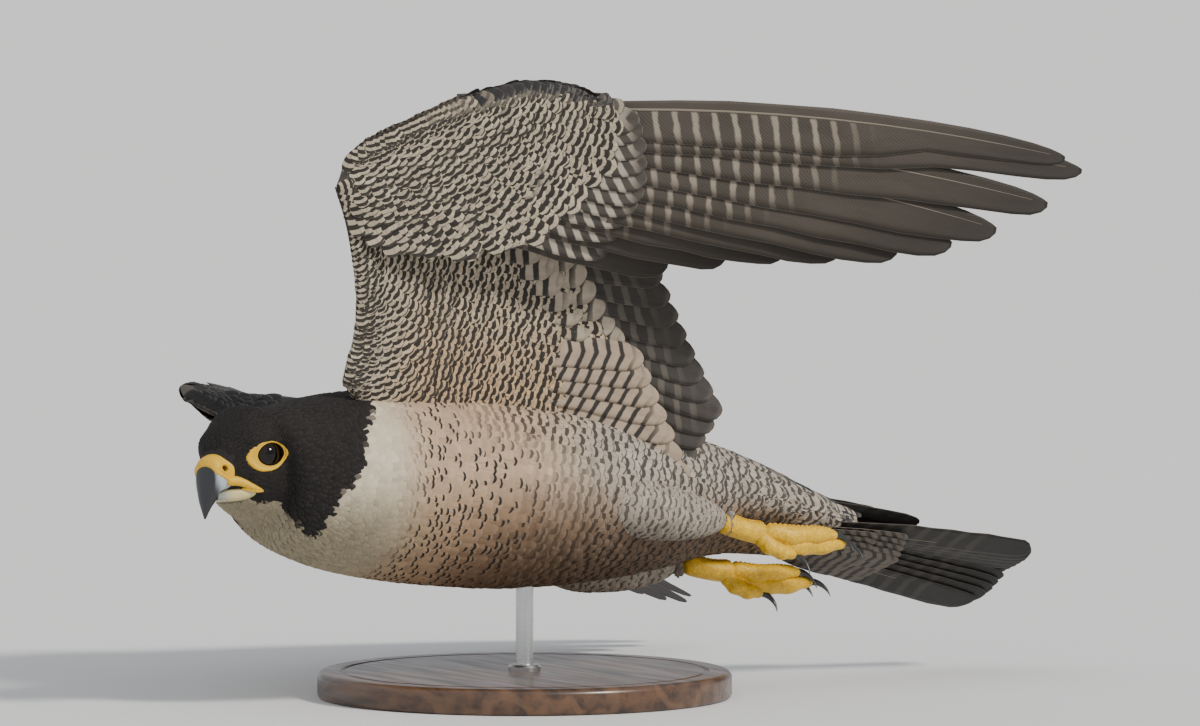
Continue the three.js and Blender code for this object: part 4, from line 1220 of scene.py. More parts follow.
def body_coat(name, first, last, places, gaps, shape, across, stretch, seed_shift):
    settings = bpy.context.scene.falcon_coat
    rng = np.random.default_rng(settings.seed + seed_shift)
    sheet = body_sheet()
    a, b, size = body_rows(sheet, first, last, places, gaps, settings.spacing)
    a = a + rng.normal(0, 0.12, len(a)) * size / 0.7
    b = b + rng.normal(0, 0.10, len(b))
    counts = a / (BODY_ROWS - 1) * LAST
    angles = b / (BODY_COLUMNS - 1) * 2 * math.pi - math.pi
    ahead = sheet.at(a + 3, b) - sheet.at(a - 3, b)
    root = sheet.at(a, b)
    tip = root + unit(ahead) * size[:, None] * TIP_TO_GAP
    # None grow on the rings of the eyes, the corners of the mouth, the cere and the lower bill
    keep = counts > first
    for side in (1, -1):
        keep &= (beyond_ring(root, side) > 0.3) & (beyond_ring(tip, side) > 0.1)
        keep &= (beyond_mouth(root, side) > 1.5) & (beyond_mouth(tip, side) > 1.3)
    local = to_head(root)
    aside, y, z = np.abs(local[:, 0]), local[:, 1], local[:, 2]
    keep &= ~((y < -11.5) & (aside < 8.8) & (z < 3.6) & (z > -18))
    keep &= ~((y < -7.5) & (aside > 4) & (z < -10.8) & (z > -17.2))
    a, b, size, counts, angles, ahead = (v[keep] for v in (a, b, size, counts, angles, ahead))
    # Those of the sides hang a little, and those of rump and flanks are longer
    droop = np.zeros_like(ahead)
    droop[:, 2] = -0.22 * np.linalg.norm(ahead, axis=1) * step(7, 9, counts) * (np.cos(angles) ** 2)
    tint, marks = body_marks(counts, angles, rng)
    long = 1 + 0.35 * step(0.5, 1.0, np.sin(angles)) * step(7.5, 9, counts) + 0.45 * step(11.5, 13, counts)
    points, faces, maps, each = coat(
        sheet, a, b, ahead + droop, size * stretch * long, size * WIDTH_TO_GAP, (-0.3, 0.7), rng,
        shape, across)
    values = coat_values(tint, marks, each)
    return make_piece(name, points, faces, small_feathers(), maps, values)


class FALCON_OT_body_feathers(bpy.types.Operator):
    """The small feathers of head, neck and body"""
    bl_idname = "falcon.body_feathers"
    bl_label = "Body Feathers"

    def execute(self, context):
        for shift, (name, first, last, places, gaps, shape, across, stretch) in enumerate((
            ("face", 0.35, 3.2, (0, 2, 3.2), (1.15, 1.35, 1.6), "fine", 3, 3.0),
            ("hood", 3.2, 6.0, (3.2, 6), (1.6, 2.5), "fine", 3, 3.2),
            ("neck", 6.0, 8.6, (6, 7, 8.6), (2.5, 3.3, 4.4), "body", 5, 3.1),
            ("body", 8.6, 13.95, (8.6, 10, 14), (4.4, 5.2, 5.0), "body", 5, 3.0),
        ), 1):
            body_coat(f"feathers_{name}", first, last, places, gaps, shape, across, stretch, shift)
        return {"FINISHED"}


class FALCON_OT_leg_feathers(bpy.types.Operator):
    """The barred feathers of the thighs"""
    bl_idname = "falcon.leg_feathers"
    bl_label = "Leg Feathers"

    def execute(self, context):
        settings = context.scene.falcon_coat
        for name, wing in WINGS.items():
            rng = np.random.default_rng(settings.seed + 20 + wing["side"])
            sheet = limb_sheet(mirrored(THIGH_PATH, wing["side"]), THIGH_RADII, grow=-1.0)
            rows, columns = 22, 21
            a, b = np.meshgrid(np.linspace(3, 53, rows), np.arange(columns), indexing="ij")
            b = (b + 0.5 * (np.arange(rows)[:, None] % 2)) / columns * 48 + rng.normal(0, 0.3, a.shape)
            a, b = a.ravel(), b.ravel()
            ahead = sheet.at(a + 1, b) - sheet.at(a - 1, b)
            points, faces, maps, each = coat(
                sheet, a, b, ahead, np.full(len(a), 12.0), np.full(len(a), 6.4), (-0.3, 0.8), rng)
            tint = solid_tint(len(a), (0.38, 0.33, 0.27), 0.1, 0.08, rng)
            marks = np.broadcast_to((0.72, 0.3, 0.0), (len(a), 3))
            values = coat_values(tint, marks, each)
            make_piece(f"feathers_leg_{name}", points, faces, small_feathers(), maps, values)
        return {"FINISHED"}


def strips(values, share=1.0):
    """A map that lays each long feather as its own strip, its lower face beside its upper one."""
    order, vane = values["order"], values["vane"]
    count = int(order.max()) + 1
    wide = 1 / count
    x = (order + 0.04 + 0.44 * vane[:, 0] + 0.48 * values["below"]) * wide
    return np.stack((x, 0.01 + 0.97 * vane[:, 1] * share), -1)


DARK_BAR = (0.018, 0.0155, 0.014)
# Long feathers: name of the finish, colours of the upper face, lower face, bars and tip, then the
# numbers that flight_finish takes
FLIGHT = {
    "primary": (
        "primary_vanes", (0.030, 0.028, 0.028), (0.064, 0.052, 0.040), (0.30, 0.25, 0.195),
        (0.022, 0.017, 0.013), 9.3, 0.62, 6.0, 0.8, 0.0, 0.64, 0.8),
    "secondary": (
        "secondary_vanes", (0.036, 0.034, 0.035), (0.052, 0.045, 0.038), (0.16, 0.138, 0.112),
        (0.15, 0.125, 0.10), 9.0, 0.35, 8.0, 0.5, 0.5, 0.97, 0.5),
    "hand_covert": (
        "hand_under_coverts", (0.05, 0.045, 0.04), (0.065, 0.055, 0.045), (0.40, 0.345, 0.275),
        (0.22, 0.19, 0.15), 8.2, 0.2, 9.0, 0.0, 0.9, 0.99, 0.5),
    "under_covert": (
        "under_coverts", (0.05, 0.045, 0.04), (0.47, 0.395, 0.30), DARK_BAR,
        (0.47, 0.395, 0.30), 6.6, 0.12, 3.0, 0.0, 0.97, 0.985, 0.4),
    "upper_covert": (
        "upper_coverts", (0.040, 0.039, 0.041), (0.06, 0.053, 0.046), (0.11, 0.105, 0.10),
        (0.105, 0.10, 0.098), 8.0, 0.3, 4.0, 0.3, 0.0, 0.97, 0.35),
    # The tail's lower face is darker than its upper face: painted shade on the underside
    "tail": (
        "tail_vanes", (0.034, 0.033, 0.033), (0.022, 0.019, 0.016), (0.055, 0.048, 0.039),
        (0.009, 0.008, 0.007), 9.5, 0.3, 4.0, 0.5, 0.6, 0.82, 0.8),
    "axillary": (
        "axillary_vanes", (0.5, 0.44, 0.36), (0.42, 0.325, 0.235), DARK_BAR,
        (0.42, 0.325, 0.235), 6.6, 0.45, -5.0, 0.0, 0.97, 0.99, 0.2),
    # The under tail coverts' lower face, the one seen, is darker than their upper face: partly their own
    # brown-grey and partly painted shade on the underside
    "tail_covert": (
        "tail_under_coverts", (0.4, 0.36, 0.3), (0.15, 0.125, 0.098), (0.022, 0.019, 0.016),
        (0.15, 0.125, 0.098), 5.5, 0.2, -5.0, 0.0, 0.95, 0.99, 0.2),
}


def flight_feathers(kind):
    return finish_for(kind, lambda: flight_finish(*FLIGHT[kind]))


def vane_piece(name, built, kind):
    points, faces, values = built
    maps = {"vane": values.pop("vane")}
    maps["OFBake"] = strips({**values, "vane": maps["vane"]})
    return make_piece(name, points, faces, flight_feathers(kind), maps, values)


def covert_run(root, tip, end_share, length):
    along = tip - root
    span = np.linalg.norm(along, axis=1)
    start_share = end_share - length / span
    return root + along * start_share[:, None], root + along * end_share[:, None]


class FALCON_OT_wing_vanes(bpy.types.Operator):
    """Flight feathers, greater coverts and alula of both wings"""
    bl_idname = "falcon.wing_vanes"
    bl_label = "Wing Vanes"

    def execute(self, context):
        seed = context.scene.falcon_coat.seed
        for name, wing in WINGS.items():
            rng = np.random.default_rng(seed + 30 + wing["side"])
            arm, hand, wrist_out, wrist_back = wing_planes(wing)
            share = spread(SECONDARY_COUNT, 0.3)
            root, tip = arm_feathers(share, wrist_out, wrist_back)
            length = np.linalg.norm(tip - root, axis=1)
            twist = SECONDARY_TWIST * twist_share(share)
            # Secondaries and tertials
            secondaries = vane_piece(f"secondaries_{name}", vanes(
                arm, root, tip, 7.0, 13.5, 0.16, (0, 0), rng, bow=3.0, twist=twist), "secondary")
            # Greater and median coverts: how far they end short of the flight feathers, lift and length
            for key, kind, short, lift, reach in (
                ("greater_under", "under_covert", 44, (-1.6, -3.0), 62),
                ("under", "under_covert", 62, (-1.2, -4.2), 50),
                ("upper", "upper_covert", 62, (2.6, 3.1), 62),
            ):
                start, end = covert_run(root, tip, 1 - short / length, reach)
                vane_piece(f"{key}_coverts_arm_{name}", vanes(
                    arm, start, end, 6.5, 9.5, 0.12, lift, rng, twist=twist * 0.45, widths="covert"), kind)
            share = spread(10)
            root, tip, end_share = hand_feathers(share)
            twist = PRIMARY_TWIST * twist_share(share)
            # The outer three primaries are notched in their inner vanes
            notch = np.array((0, 0, 0, 0, 0, 0, 0, 0.15, 0.3, 0.42))
            primaries = vane_piece(f"primaries_{name}", vanes(
                hand, root, tip, lerp(8.0, 5.0, share), lerp(15.0, 17.0, share), 0.125, (0, 0), rng,
                bow=PRIMARY_BOW * (0.4 + 0.6 * share), twist=twist, notch=notch), "primary")
            # Those of the hand: how far they end past the mark set for each primary, length and lift
            for key, kind, past, reach, lift in (
                ("greater_under", "hand_covert", 16, 74, (-1.0, -2.9)),
                ("under", "under_covert", -30, 30, (-0.5, -4.2)),
                ("upper", "upper_covert", -6, 62, (2.6, 3.1)),
            ):
                ends_at = end_share + past / np.linalg.norm(tip - root, axis=1)
                start, end = covert_run(root, tip, ends_at, reach)
                few = slice(0, 7 if key == "under" else 10)
                vane_piece(f"{key}_coverts_hand_{name}", vanes(
                    hand, start[few], end[few], 6.5, 9.0, 0.12, lift, rng,
                    twist=(twist * np.maximum(ends_at, 0) ** 2)[few], widths="covert"), kind)
            alula = vanes(hand, ((14, -24), (13, -21), (12, -18)), ((100, -41), (90, -38), (80, -34.5)), 4.5,
                          8.5,
                          0.0, ((4.2, 2.8), (3.6, 2.2), (3.0, 1.6)), rng, bow=5.0, widths="covert")
            vane_piece(f"alula_{name}", alula, "upper_covert")
            place = np.arange(7)
            axillaries = vanes(
                arm, np.stack((8 + 4.6 * place, 44 + 1.0 * place), -1),
                np.stack((-2 + 8.0 * place, 152 - 5.5 * place), -1), 6.5, 8.0, 0.10,
                np.stack((np.full(7, -5.0), -7.0 + 0.35 * place), -1), rng, bow=3.0, widths="covert")
            vane_piece(f"axillaries_{name}", axillaries, "axillary")
            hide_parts(f"wing_{name}_arm")
            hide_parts(f"wing_{name}_hand")
        return {"FINISHED"}


# Distance between the rows of small coverts, on the lower and the upper face
COVERT_GAPS = {-1: 3.7, 1: 4.8}


def wing_places(face, reach, gap, rng):
    """Staggered places on one face of the wing, with a close row along its leading edge."""
    u, v = np.meshgrid(
        np.arange(reach[0], reach[1], gap), np.arange(reach[2], reach[3], gap * 1.04), indexing="ij")
    u = u + 0.5 * gap * (np.arange(u.shape[1])[None] % 2) + rng.normal(0, 0.12 * gap, u.shape)
    v = v + rng.normal(0, 0.12 * gap, v.shape)
    u, v = [u.ravel()], [v.ravel()]
    for row, share in enumerate((0.006, 0.03, 0.06)):
        edge = np.arange(reach[0], reach[1], gap * 0.6) + row * gap * 0.3
        lead, trail, _ = face.rows(edge)
        u.append(edge)
        v.append(lerp(lead, trail, share))
    u, v = np.concatenate(u), np.concatenate(v)
    lead, trail, _ = face.rows(u)
    s = (v - lead) / (trail - lead)
    on = (s > 0) & (s < 0.99) & (u > face.table[0, 0]) & (u < face.table[-1, 0])
    return u[on], v[on], s[on]


def covert_lean(part, side, out, s):
    """Degrees by which small coverts lean from straight back towards the wing's tip."""
    if part == "arm":
        lean = np.interp(out, (0, 0.5, 1), (-10, -8, 6))
        lean = lean - 55 * step(0.3, 0.05, s) * step(0.75, 0.35, out) * (side < 0)
        return lean + 22 * step(0.45, 0.0, s) * step(0.6, 1, out)
    if side < 0:
        return np.interp(out, (0, 0.45, 0.8, 1), (26, 42, 66, 80))
    return np.interp(s, (0, 0.25, 1), (68, 76, 84))


def covert_border(name, part, u, out):
    """How far below the leading edge the dark colour of the upper side begins, in millimetres."""
    if part == "hand":
        border = np.interp(u, (-14, 20, 50, 104), (-4, -1.5, 1.5, 4.5))
    else:
        border = np.interp(out, (0, 0.1, 0.25, 1), (12, 5, -6, -7))
    return np.maximum(border, 3) if name == "right" else border


def covert_colours(dark, warm, wobble, length, s):
    """Base colours and marks of small coverts: pale and barred below, slate with fine edges above."""
    pale = np.array((0.48, 0.405, 0.30)) + warm * np.array((0.03, -0.05, -0.09))
    tint = lerp(pale * (1 + 0.09 * wobble), np.array((0.038, 0.036, 0.037)), dark)
    spacing = np.interp(s, (0, 0.5, 1), (3.3, 3.7, 5.2))
    size = len(s)
    under = np.stack((np.full(size, 0.97), length / spacing / 10, np.full(size, -0.42)), -1)
    marks = lerp(under, np.array((0.35, 0.2, 0.0)), dark)
    tint = np.column_stack((tint * (1 + 0.1 * dark * wobble), 0.12 + 0.18 * dark))
    return np.clip(tint, 0.005, 1), marks


class FALCON_OT_wing_coat(bpy.types.Operator):
    """The rows of lesser and median coverts over the flesh of both wings"""
    bl_idname = "falcon.wing_coat"
    bl_label = "Wing Coverts"

    def execute(self, context):
        settings = context.scene.falcon_coat
        fine = settings.spacing
        for name, wing in WINGS.items():
            rng = np.random.default_rng(settings.seed + 40 + wing["side"])
            arm, hand, wrist_out, wrist_back = wing_planes(wing)
            for part, plane, stations, reach in (
                ("arm", arm, arm_flesh(wrist_out, wrist_back), (0, wrist_out + 2, -62, 112)),
                ("hand", hand, HAND_FLESH, (-8, 104, -50, 26)),
            ):
                blocks = []
                for side in (-1, 1):
                    face = WingFace(plane, stations, side)
                    u, v, s = wing_places(face, reach, COVERT_GAPS[side] * fine, rng)
                    out = u / (wrist_out if part == "arm" else 100)
                    lean = np.radians(covert_lean(part, side, out, s))[:, None]
                    toward = np.cos(lean) * plane.back + np.sin(lean) * plane.out
                    length = np.interp(s, (0, 0.2, 0.7, 1), (8.0, 11.5, 16, 21)) * fine
                    width = np.interp(s, (0, 0.2, 1), (5.2, 6.8, 9.0)) * fine
                    if part == "hand" and side < 0:
                        length = length * (1 - 0.45 * step(50, 12, u) * step(0.35, 0.8, s))
                    lift = (-0.3, 1.0) if side < 0 else (-0.3, 1.2)
                    points, faces, maps, each = coat(face, u, v, toward, length, width, lift, rng)
                    wobble = rng.normal(0, 1, len(u))
                    into = -side * (v - face.rows(u)[0]) + 0.5 * wobble
                    dark_from = covert_border(name, part, u, out)
                    dark = step(dark_from + 1.4, dark_from - 1.4, into)
                    warm = step(0.8, 0.2, out) * step(0.05, 0.25, s) * (part == "arm")
                    tint, marks = covert_colours(dark[:, None], warm[:, None], wobble[:, None], length, s)
                    blocks.append((points, faces, {**coat_values(tint, marks, each), **maps}))
                points, faces, values = merge(blocks)
                maps = {key: values.pop(key) for key in ("vane", "OFBake")}
                make_piece(
                    f"coverts_{part}_{name}", points, faces, small_feathers(), maps,
                    values)
        return {"FINISHED"}


def tail_plane(u, v, n):
    u, v, n = np.broadcast_arrays(u, v, n)
    return np.array(TAIL_ROOT, float) + np.stack((v, u, n - TAIL_DROOP * u), -1)


class FALCON_OT_tail(bpy.types.Operator):
    """Tail feathers with the coverts above and below them"""
    bl_idname = "falcon.tail"
    bl_label = "Tail"

    def execute(self, context):
        rng = np.random.default_rng(context.scene.falcon_coat.seed + 50)
        root, tip, outer, inner, level, way = [], [], [], [], [], []
        for i, (from_middle, to_middle, length, wide, narrow) in enumerate(TAIL_FEATHERS):
            for side in (1, -1):
                root.append((6, side * from_middle))
                tip.append((length, side * to_middle))
                outer.append(wide + 0.6)
                inner.append(narrow + 0.6)
                height = 0 if i == 0 and side < 0 else -TAIL_STEP * (i + 1)
                level.append((height, height))
                way.append(side)
        tail = vane_piece("tail_feathers", vanes(
            tail_plane, root, tip, outer, inner, 0.0, level, rng, outer_way=way, widths="tail", thick=0.5,
            sag=0.0),
            "tail")
        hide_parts("tail")
        for key, kind, lifts, reach, slot in (
            ("upper", "upper_covert", ((5.5, 1.6), (7.5, 3.2)), (54, 34), "flight_feathers"),
            ("under", "tail_covert", ((-9.5, -9.0), (-11.0, -10.0)), (46, 30), "pale_plumage"),
        ):
            sign = 1 if key == "upper" else -1
            parts = []
            for tier, (lift, length) in enumerate(zip(lifts, reach)):
                across = np.arange(9 - tier) - (8 - tier) / 2
                root = np.stack((np.full(len(across), -8.0 * tier), across * 3.6), -1)
                tip = np.stack((length - 1.7 * np.abs(across), across * 4.9), -1)
                falls = np.stack((-0.22 * np.abs(across), -0.1 * np.abs(across)), -1)
                part = vanes(tail_plane, root, tip, 5.0, 5.0, -0.10 * np.sign(across) * sign,
                             np.array(lift) + falls * sign, rng, widths="covert")
                part[2]["order"] += 9 * tier
                parts.append(part)
            vane_piece(f"{key}_tail_coverts", merge(parts), kind)
        return {"FINISHED"}


def bill_point(row, angle):
    """A point of the bill's surface from its table's row and the angle round it."""
    top_y, top_z, edge_y, edge_z, half = np.moveaxis(row, -1, 0)
    mid_y, mid_z = (top_y + edge_y) / 2, (top_z + edge_z) / 2
    rise_y, rise_z = (top_y - edge_y) / 2, (top_z - edge_z) / 2
    s, c = np.sin(angle), np.cos(angle)
    wide = half * np.sign(c) * np.abs(c) ** np.where(s < 0, 0.4, 0.9)
    return np.stack((wide, mid_y + rise_y * s, mid_z + rise_z * s), -1)


def cere_share(angle):
    """Where along the bill's table the cere ends, for each angle round it."""
    steps = np.linspace(0, 5, 400)
    rows = catmull(UPPER_BILL, steps)
    grid = bill_point(rows[:, None], angle[None, :])
    edge_y, edge_z = np.array(CERE_EDGE).T
    return steps[np.argmax(grid[..., 1] < np.interp(grid[..., 2], edge_z, edge_y), axis=0)]


class FALCON_OT_bill(bpy.types.Operator):
    """Cere with its nostrils, upper and lower bill, and the corners of the mouth"""
    bl_idname = "falcon.bill"
    bl_label = "Bill and Cere"

    def execute(self, context):
        yellow = tuple(context.scene.falcon_bare.yellow)
        skin = finish_for("cere", lambda: bare_skin_finish("cere_skin", yellow, 0.8, 2600.0))
        horn = finish_for("horn", lambda: horn_finish("bill_horn"))
        angle = np.linspace(0, 2 * math.pi, 121)[:-1]
        ends = cere_share(angle)
        share = np.linspace(0, 1, 110)
        at = ends[None] * share[:, None]
        points = bill_point(catmull(UPPER_BILL, at), np.broadcast_to(angle, at.shape))
        out = unit(points - points.mean(1, keepdims=True))
        # The cere swells towards the horn and rounds off onto it
        swell = 0.45 * step(0.35, 0.8, share) * (1 - step(0.93, 1.0, share)) - 0.25 * step(0.96, 1.0, share)
        points = points + out * swell[:, None, None]
        dark = np.ones(points.shape[:2])
        for side in (1, -1):
            # A raised rim, the hole, and the small peg in its middle; the hole is painted dark as painted
            # shade, and the peg about half as dark
            nostril = mirrored(NOSTRIL_AT, side)
            away = np.linalg.norm((points - nostril) * (0.6, 1, 1), axis=-1)
            rim = 0.5 * np.exp(-((away - 2.05) / 0.5) ** 2)
            hole = -2.3 * step(1.55, 1.1, away) + 1.7 * step(0.55, 0.2, away)
            points = points + out * (rim + hole)[..., None]
            dark = dark * (1 - 0.93 * step(1.6, 1.15, away) * (1 - 0.5 * step(0.55, 0.25, away)))
        tint = painted(np.stack((dark, dark * 0.97, dark), -1), (1, 1, 1), (1, 1, 1))
        cere = head_piece("cere_skin", shell(points), skin, tint)
        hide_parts("cere")

        # The horn starts just under the cere's edge
        at = lerp(ends[None] - 0.05, 7.0, share[:, None] ** 0.9)
        points = bill_point(catmull(UPPER_BILL, at), np.broadcast_to(angle, at.shape))
        # The tooth of the cutting edge, and the notch before it
        for rise, place, wide, low in ((-0.9, 4.55, 0.28, 0.22), (0.5, 5.1, 0.22, 0.25)):
            edge = np.exp(-((np.sin(angle) + 0.82) / low) ** 2)
            points[..., 2] += rise * np.exp(-((at - place) / wide) ** 2) * edge
        # Blue-grey horn turns black towards the tip, and sooner along the ridge, where the black is partly
        # the horn's own and partly painted shade
        along = step(2.7, 4.9, at)
        culmen = step(0.3, 0.85, np.sin(angle))[None] * step(1.6, 3.0, at)
        black = np.clip(along + culmen * 0.95, 0, 1)[..., None]
        base, tip = np.array((0.44, 0.50, 0.55)), np.array((0.018, 0.019, 0.022))
        tint = painted(lerp(base, tip, black), base, tip)
        bill = head_piece("bill_upper_horn", shell(points), horn, tint)
        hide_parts("bill_upper")

        at = np.linspace(0, len(LOWER_BILL) - 1, 60)
        points = bill_point(catmull(LOWER_BILL, at)[:, None], angle[None])
        tip, cream = step(2.4, 3.9, at)[:, None, None], np.array((0.66, 0.56, 0.26))
        colour = np.broadcast_to(cream * (1 - tip) + np.array((0.34, 0.36, 0.33)) * tip, points.shape)
        tint = painted(colour, cream, (0.3, 0.3, 0.3))
        low = head_piece("bill_lower_horn", shell(points), horn, tint)
        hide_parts("bill_lower")

        parts = []
        for side in (1, -1):
            for path, thick in (
                (UPPER_LIP, (1.9, 2.2, 2.0, 1.3, 0.5)), (LOWER_LIP, (0.6, 0.8, 0.9, 0.8, 0.4)),
            ):
                lip = limb_sheet(mirrored(path, side), thick, rows=40, columns=25)
                points, faces = shell(lip.points[:, :-1])
                parts.append((points, faces, {"tint": np.ones((len(points), 4))}))
        points, faces, values = merge(parts)
        head_piece("mouth_corners", (points, faces), skin, values["tint"])
        return {"FINISHED"}


class FALCON_OT_eyes(bpy.types.Operator):
    """Wet dark eyes, each in a ring of bare yellow skin"""
    bl_idname = "falcon.eyes"
    bl_label = "Eyes"

    def execute(self, context):
        yellow = tuple(context.scene.falcon_bare.yellow)
        ring_skin = finish_for("ring", lambda: bare_skin_finish("eye_ring_skin", yellow, 0.85, 3600.0, 0.5))
        body = body_sheet()
        face = to_head(body.points[:240].reshape(-1, 3))
        rings = []
        for name, side in (("left", 1), ("right", -1)):
            centre, ahead, up, out = eye_frame(side)
            theta = np.linspace(0.03, math.pi - 0.03, 72)
            phi = np.linspace(-math.pi, math.pi, 97)[:-1]
            bulge = 0.5 * np.exp(-(theta / 0.5) ** 2)
            radius = EYE_RADIUS + bulge
            ball = centre + radius[:, None, None] * (
                np.cos(theta)[:, None, None] * out
                + np.sin(theta)[:, None, None] * around(phi, ahead[None], up[None]))
            points, faces = shell(ball)
            off = {"off_axis": np.concatenate((np.repeat(theta, len(phi)), (0, math.pi)))}
            wet = finish_for("eye", eye_finish)
            eye = make_piece(f"eyeball_{name}", from_head(points), faces, wet, values=off)
            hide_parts(f"eye_{name}")
            # The ring runs from the lids' edge on the ball out to the feathers' edge on the face
            local = face - centre
            near = (local @ out > 0) & (np.hypot(local @ ahead, local @ up) < 16)
            flat, depth = np.stack((local @ ahead, local @ up), -1)[near], (local @ out)[near]
            inner = 1 / np.hypot(np.cos(phi) / OPENING[0], np.sin(phi) / OPENING[1])
            outer = np.maximum(look_up(RING_REACH, np.degrees(phi)), inner + 0.5) + 0.25
            loops = []
            for share, rise in (
                (0, -1.2), (0, 0.1), (0.04, 0.3), (0.08, 0.4), (0.11, 0.5), (0.2, 0.35), (0.36, 0.30),
                (0.55, 0.62),
                (0.74, 0.68), (0.88, 0.50), (0.97, 0.15), (1.0, -0.5), (0.5, -2.4), (0.06, -2.6),
            ):
                reach = lerp(inner, outer, share)
                x, y = OPENING_AT + reach * np.cos(phi), reach * np.sin(phi)
                gap = (x[:, None] - flat[:, 0]) ** 2 + (y[:, None] - flat[:, 1]) ** 2
                nearest = np.argpartition(gap, 5, axis=1)[:, :5]
                weight = 1 / (np.take_along_axis(gap, nearest, 1) + 0.01)
                on_face = (depth[nearest] * weight).sum(1) / weight.sum(1)
                at_lid = np.sqrt(
                    EYE_RADIUS ** 2 - (OPENING_AT + inner * np.cos(phi)) ** 2 - (inner * np.sin(phi)) ** 2)
                level = lerp(at_lid, np.maximum(on_face, at_lid - 1), step(0.0, 0.1, share))
                loops.append(centre + x[:, None] * ahead + y[:, None] * up + (level + rise)[:, None] * out)
            loops = np.array(loops)
            rows, columns = loops.shape[:2]
            points = loops.reshape(-1, 3)
            j = np.arange(columns)
            next_j, last = (j + 1) % columns, (rows - 1) * columns
            close = np.stack((last + j, last + next_j, next_j, j), -1)
            faces = outward(points - centre, [np.vstack((grid_faces(rows, columns, closed=True), close))])
            rim = np.array((0.03, 0.04, 0.05, 0.08, 0.9, 0.95, 0.86, 1.0, 1.02, 0.95, 0.6, 0.3, 0.3, 0.05))
            tint = np.repeat(painted(np.stack((rim, rim * 0.98, rim * 0.95), -1)), columns, axis=0)
            rings.append((points, faces, {"tint": tint}))
        points, faces, values = merge(rings)
        head_piece("eye_rings", (points, faces), ring_skin, values["tint"])
        return {"FINISHED"}


def claw_sheet(path, side):
    tip, before = path[-1], path[-2]
    along = unit(tip - before)
    down = np.array((0, 0, -1.0))
    down = unit(down - along * (down @ along))
    radius = CLAW_LENGTH / math.radians(CLAW_BEND)
    start = tip - along
    angle = np.linspace(0, math.radians(CLAW_BEND), 26)
    middle = start + radius * (np.sin(angle)[:, None] * along + (1 - np.cos(angle))[:, None] * down)
    out = -np.sin(angle)[:, None] * along + np.cos(angle)[:, None] * down
    sideways = np.cross(along, down) * side
    share = np.linspace(0, 1, 26)
    thick = CLAW_RADIUS * (1 - 0.92 * share ** 1.2)
    turn_round = np.linspace(0, 2 * math.pi, 21)[:-1]
    return middle[:, None] + thick[:, None, None] * around(
        turn_round, out, 0.8 * np.broadcast_to(sideways, out.shape))


def scute_tree(material):
    """Places plates on points, each turned along its limb and sized by it."""
    tree = bpy.data.node_groups.new("Scutes", "GeometryNodeTree")
    face = tree.interface
    face.new_socket(name="Geometry", in_out="INPUT", socket_type="NodeSocketGeometry")
    sockets = {}
    for key, kind, default in (
        ("Plate Length", "NodeSocketFloat", 0.0023), ("Plate Rise", "NodeSocketFloat", 0.0006),
        ("Seed", "NodeSocketInt", 3),
    ):
        socket = face.new_socket(name=key, in_out="INPUT", socket_type=kind)
        socket.default_value = default
        sockets[key] = socket.identifier
    face.new_socket(name="Geometry", in_out="OUTPUT", socket_type="NodeSocketGeometry")

    def add(kind, inputs, output=0, **settings):
        node = tree.nodes.new(kind)
        for key, value in settings.items():
            setattr(node, key, value)
        for key, value in inputs.items():
            if isinstance(value, bpy.types.NodeSocket):
                tree.links.new(value, node.inputs[key])
            else:
                node.inputs[key].default_value = value
        return node.outputs[output] if node.outputs else None

    start = tree.nodes.new("NodeGroupInput").outputs
    radius, facing, ahead = (
        add("GeometryNodeInputNamedAttribute", {"Name": name}, data_type=kind)
        for name, kind in (("limb_radius", "FLOAT"), ("outward", "FLOAT_VECTOR"), ("ahead", "FLOAT_VECTOR")))
    jitter = add("FunctionNodeRandomValue", {2: 0.88, 3: 1.12, "Seed": start["Seed"]}, 1)
    half = add("ShaderNodeMath", {0: start["Plate Length"], 1: 0.6}, operation="MULTIPLY")
    along = add("ShaderNodeMath", {0: half, 1: jitter}, operation="MULTIPLY")
    wide = add("ShaderNodeMath", {0: radius, 1: 0.62}, operation="MULTIPLY")
    size = add("ShaderNodeCombineXYZ", {0: along, 1: wide, 2: start["Plate Rise"]})
    way = add("FunctionNodeAlignEulerToVector", {"Vector": facing}, axis="Z")
    way = add("FunctionNodeAlignEulerToVector", {"Rotation": way, "Vector": ahead}, axis="X", pivot_axis="Z")
    plate = add("GeometryNodeMeshUVSphere", {"Segments": 10, "Rings": 6, "Radius": 1.0}, "Mesh")
    plates = add("GeometryNodeInstanceOnPoints", {
        "Points": start["Geometry"], "Instance": plate, "Rotation": way, "Scale": size})
    real = add("GeometryNodeRealizeInstances", {0: plates})
    add("NodeGroupOutput", {0: add("GeometryNodeSetMaterial", {"Geometry": real, "Material": material})})
    return tree, sockets


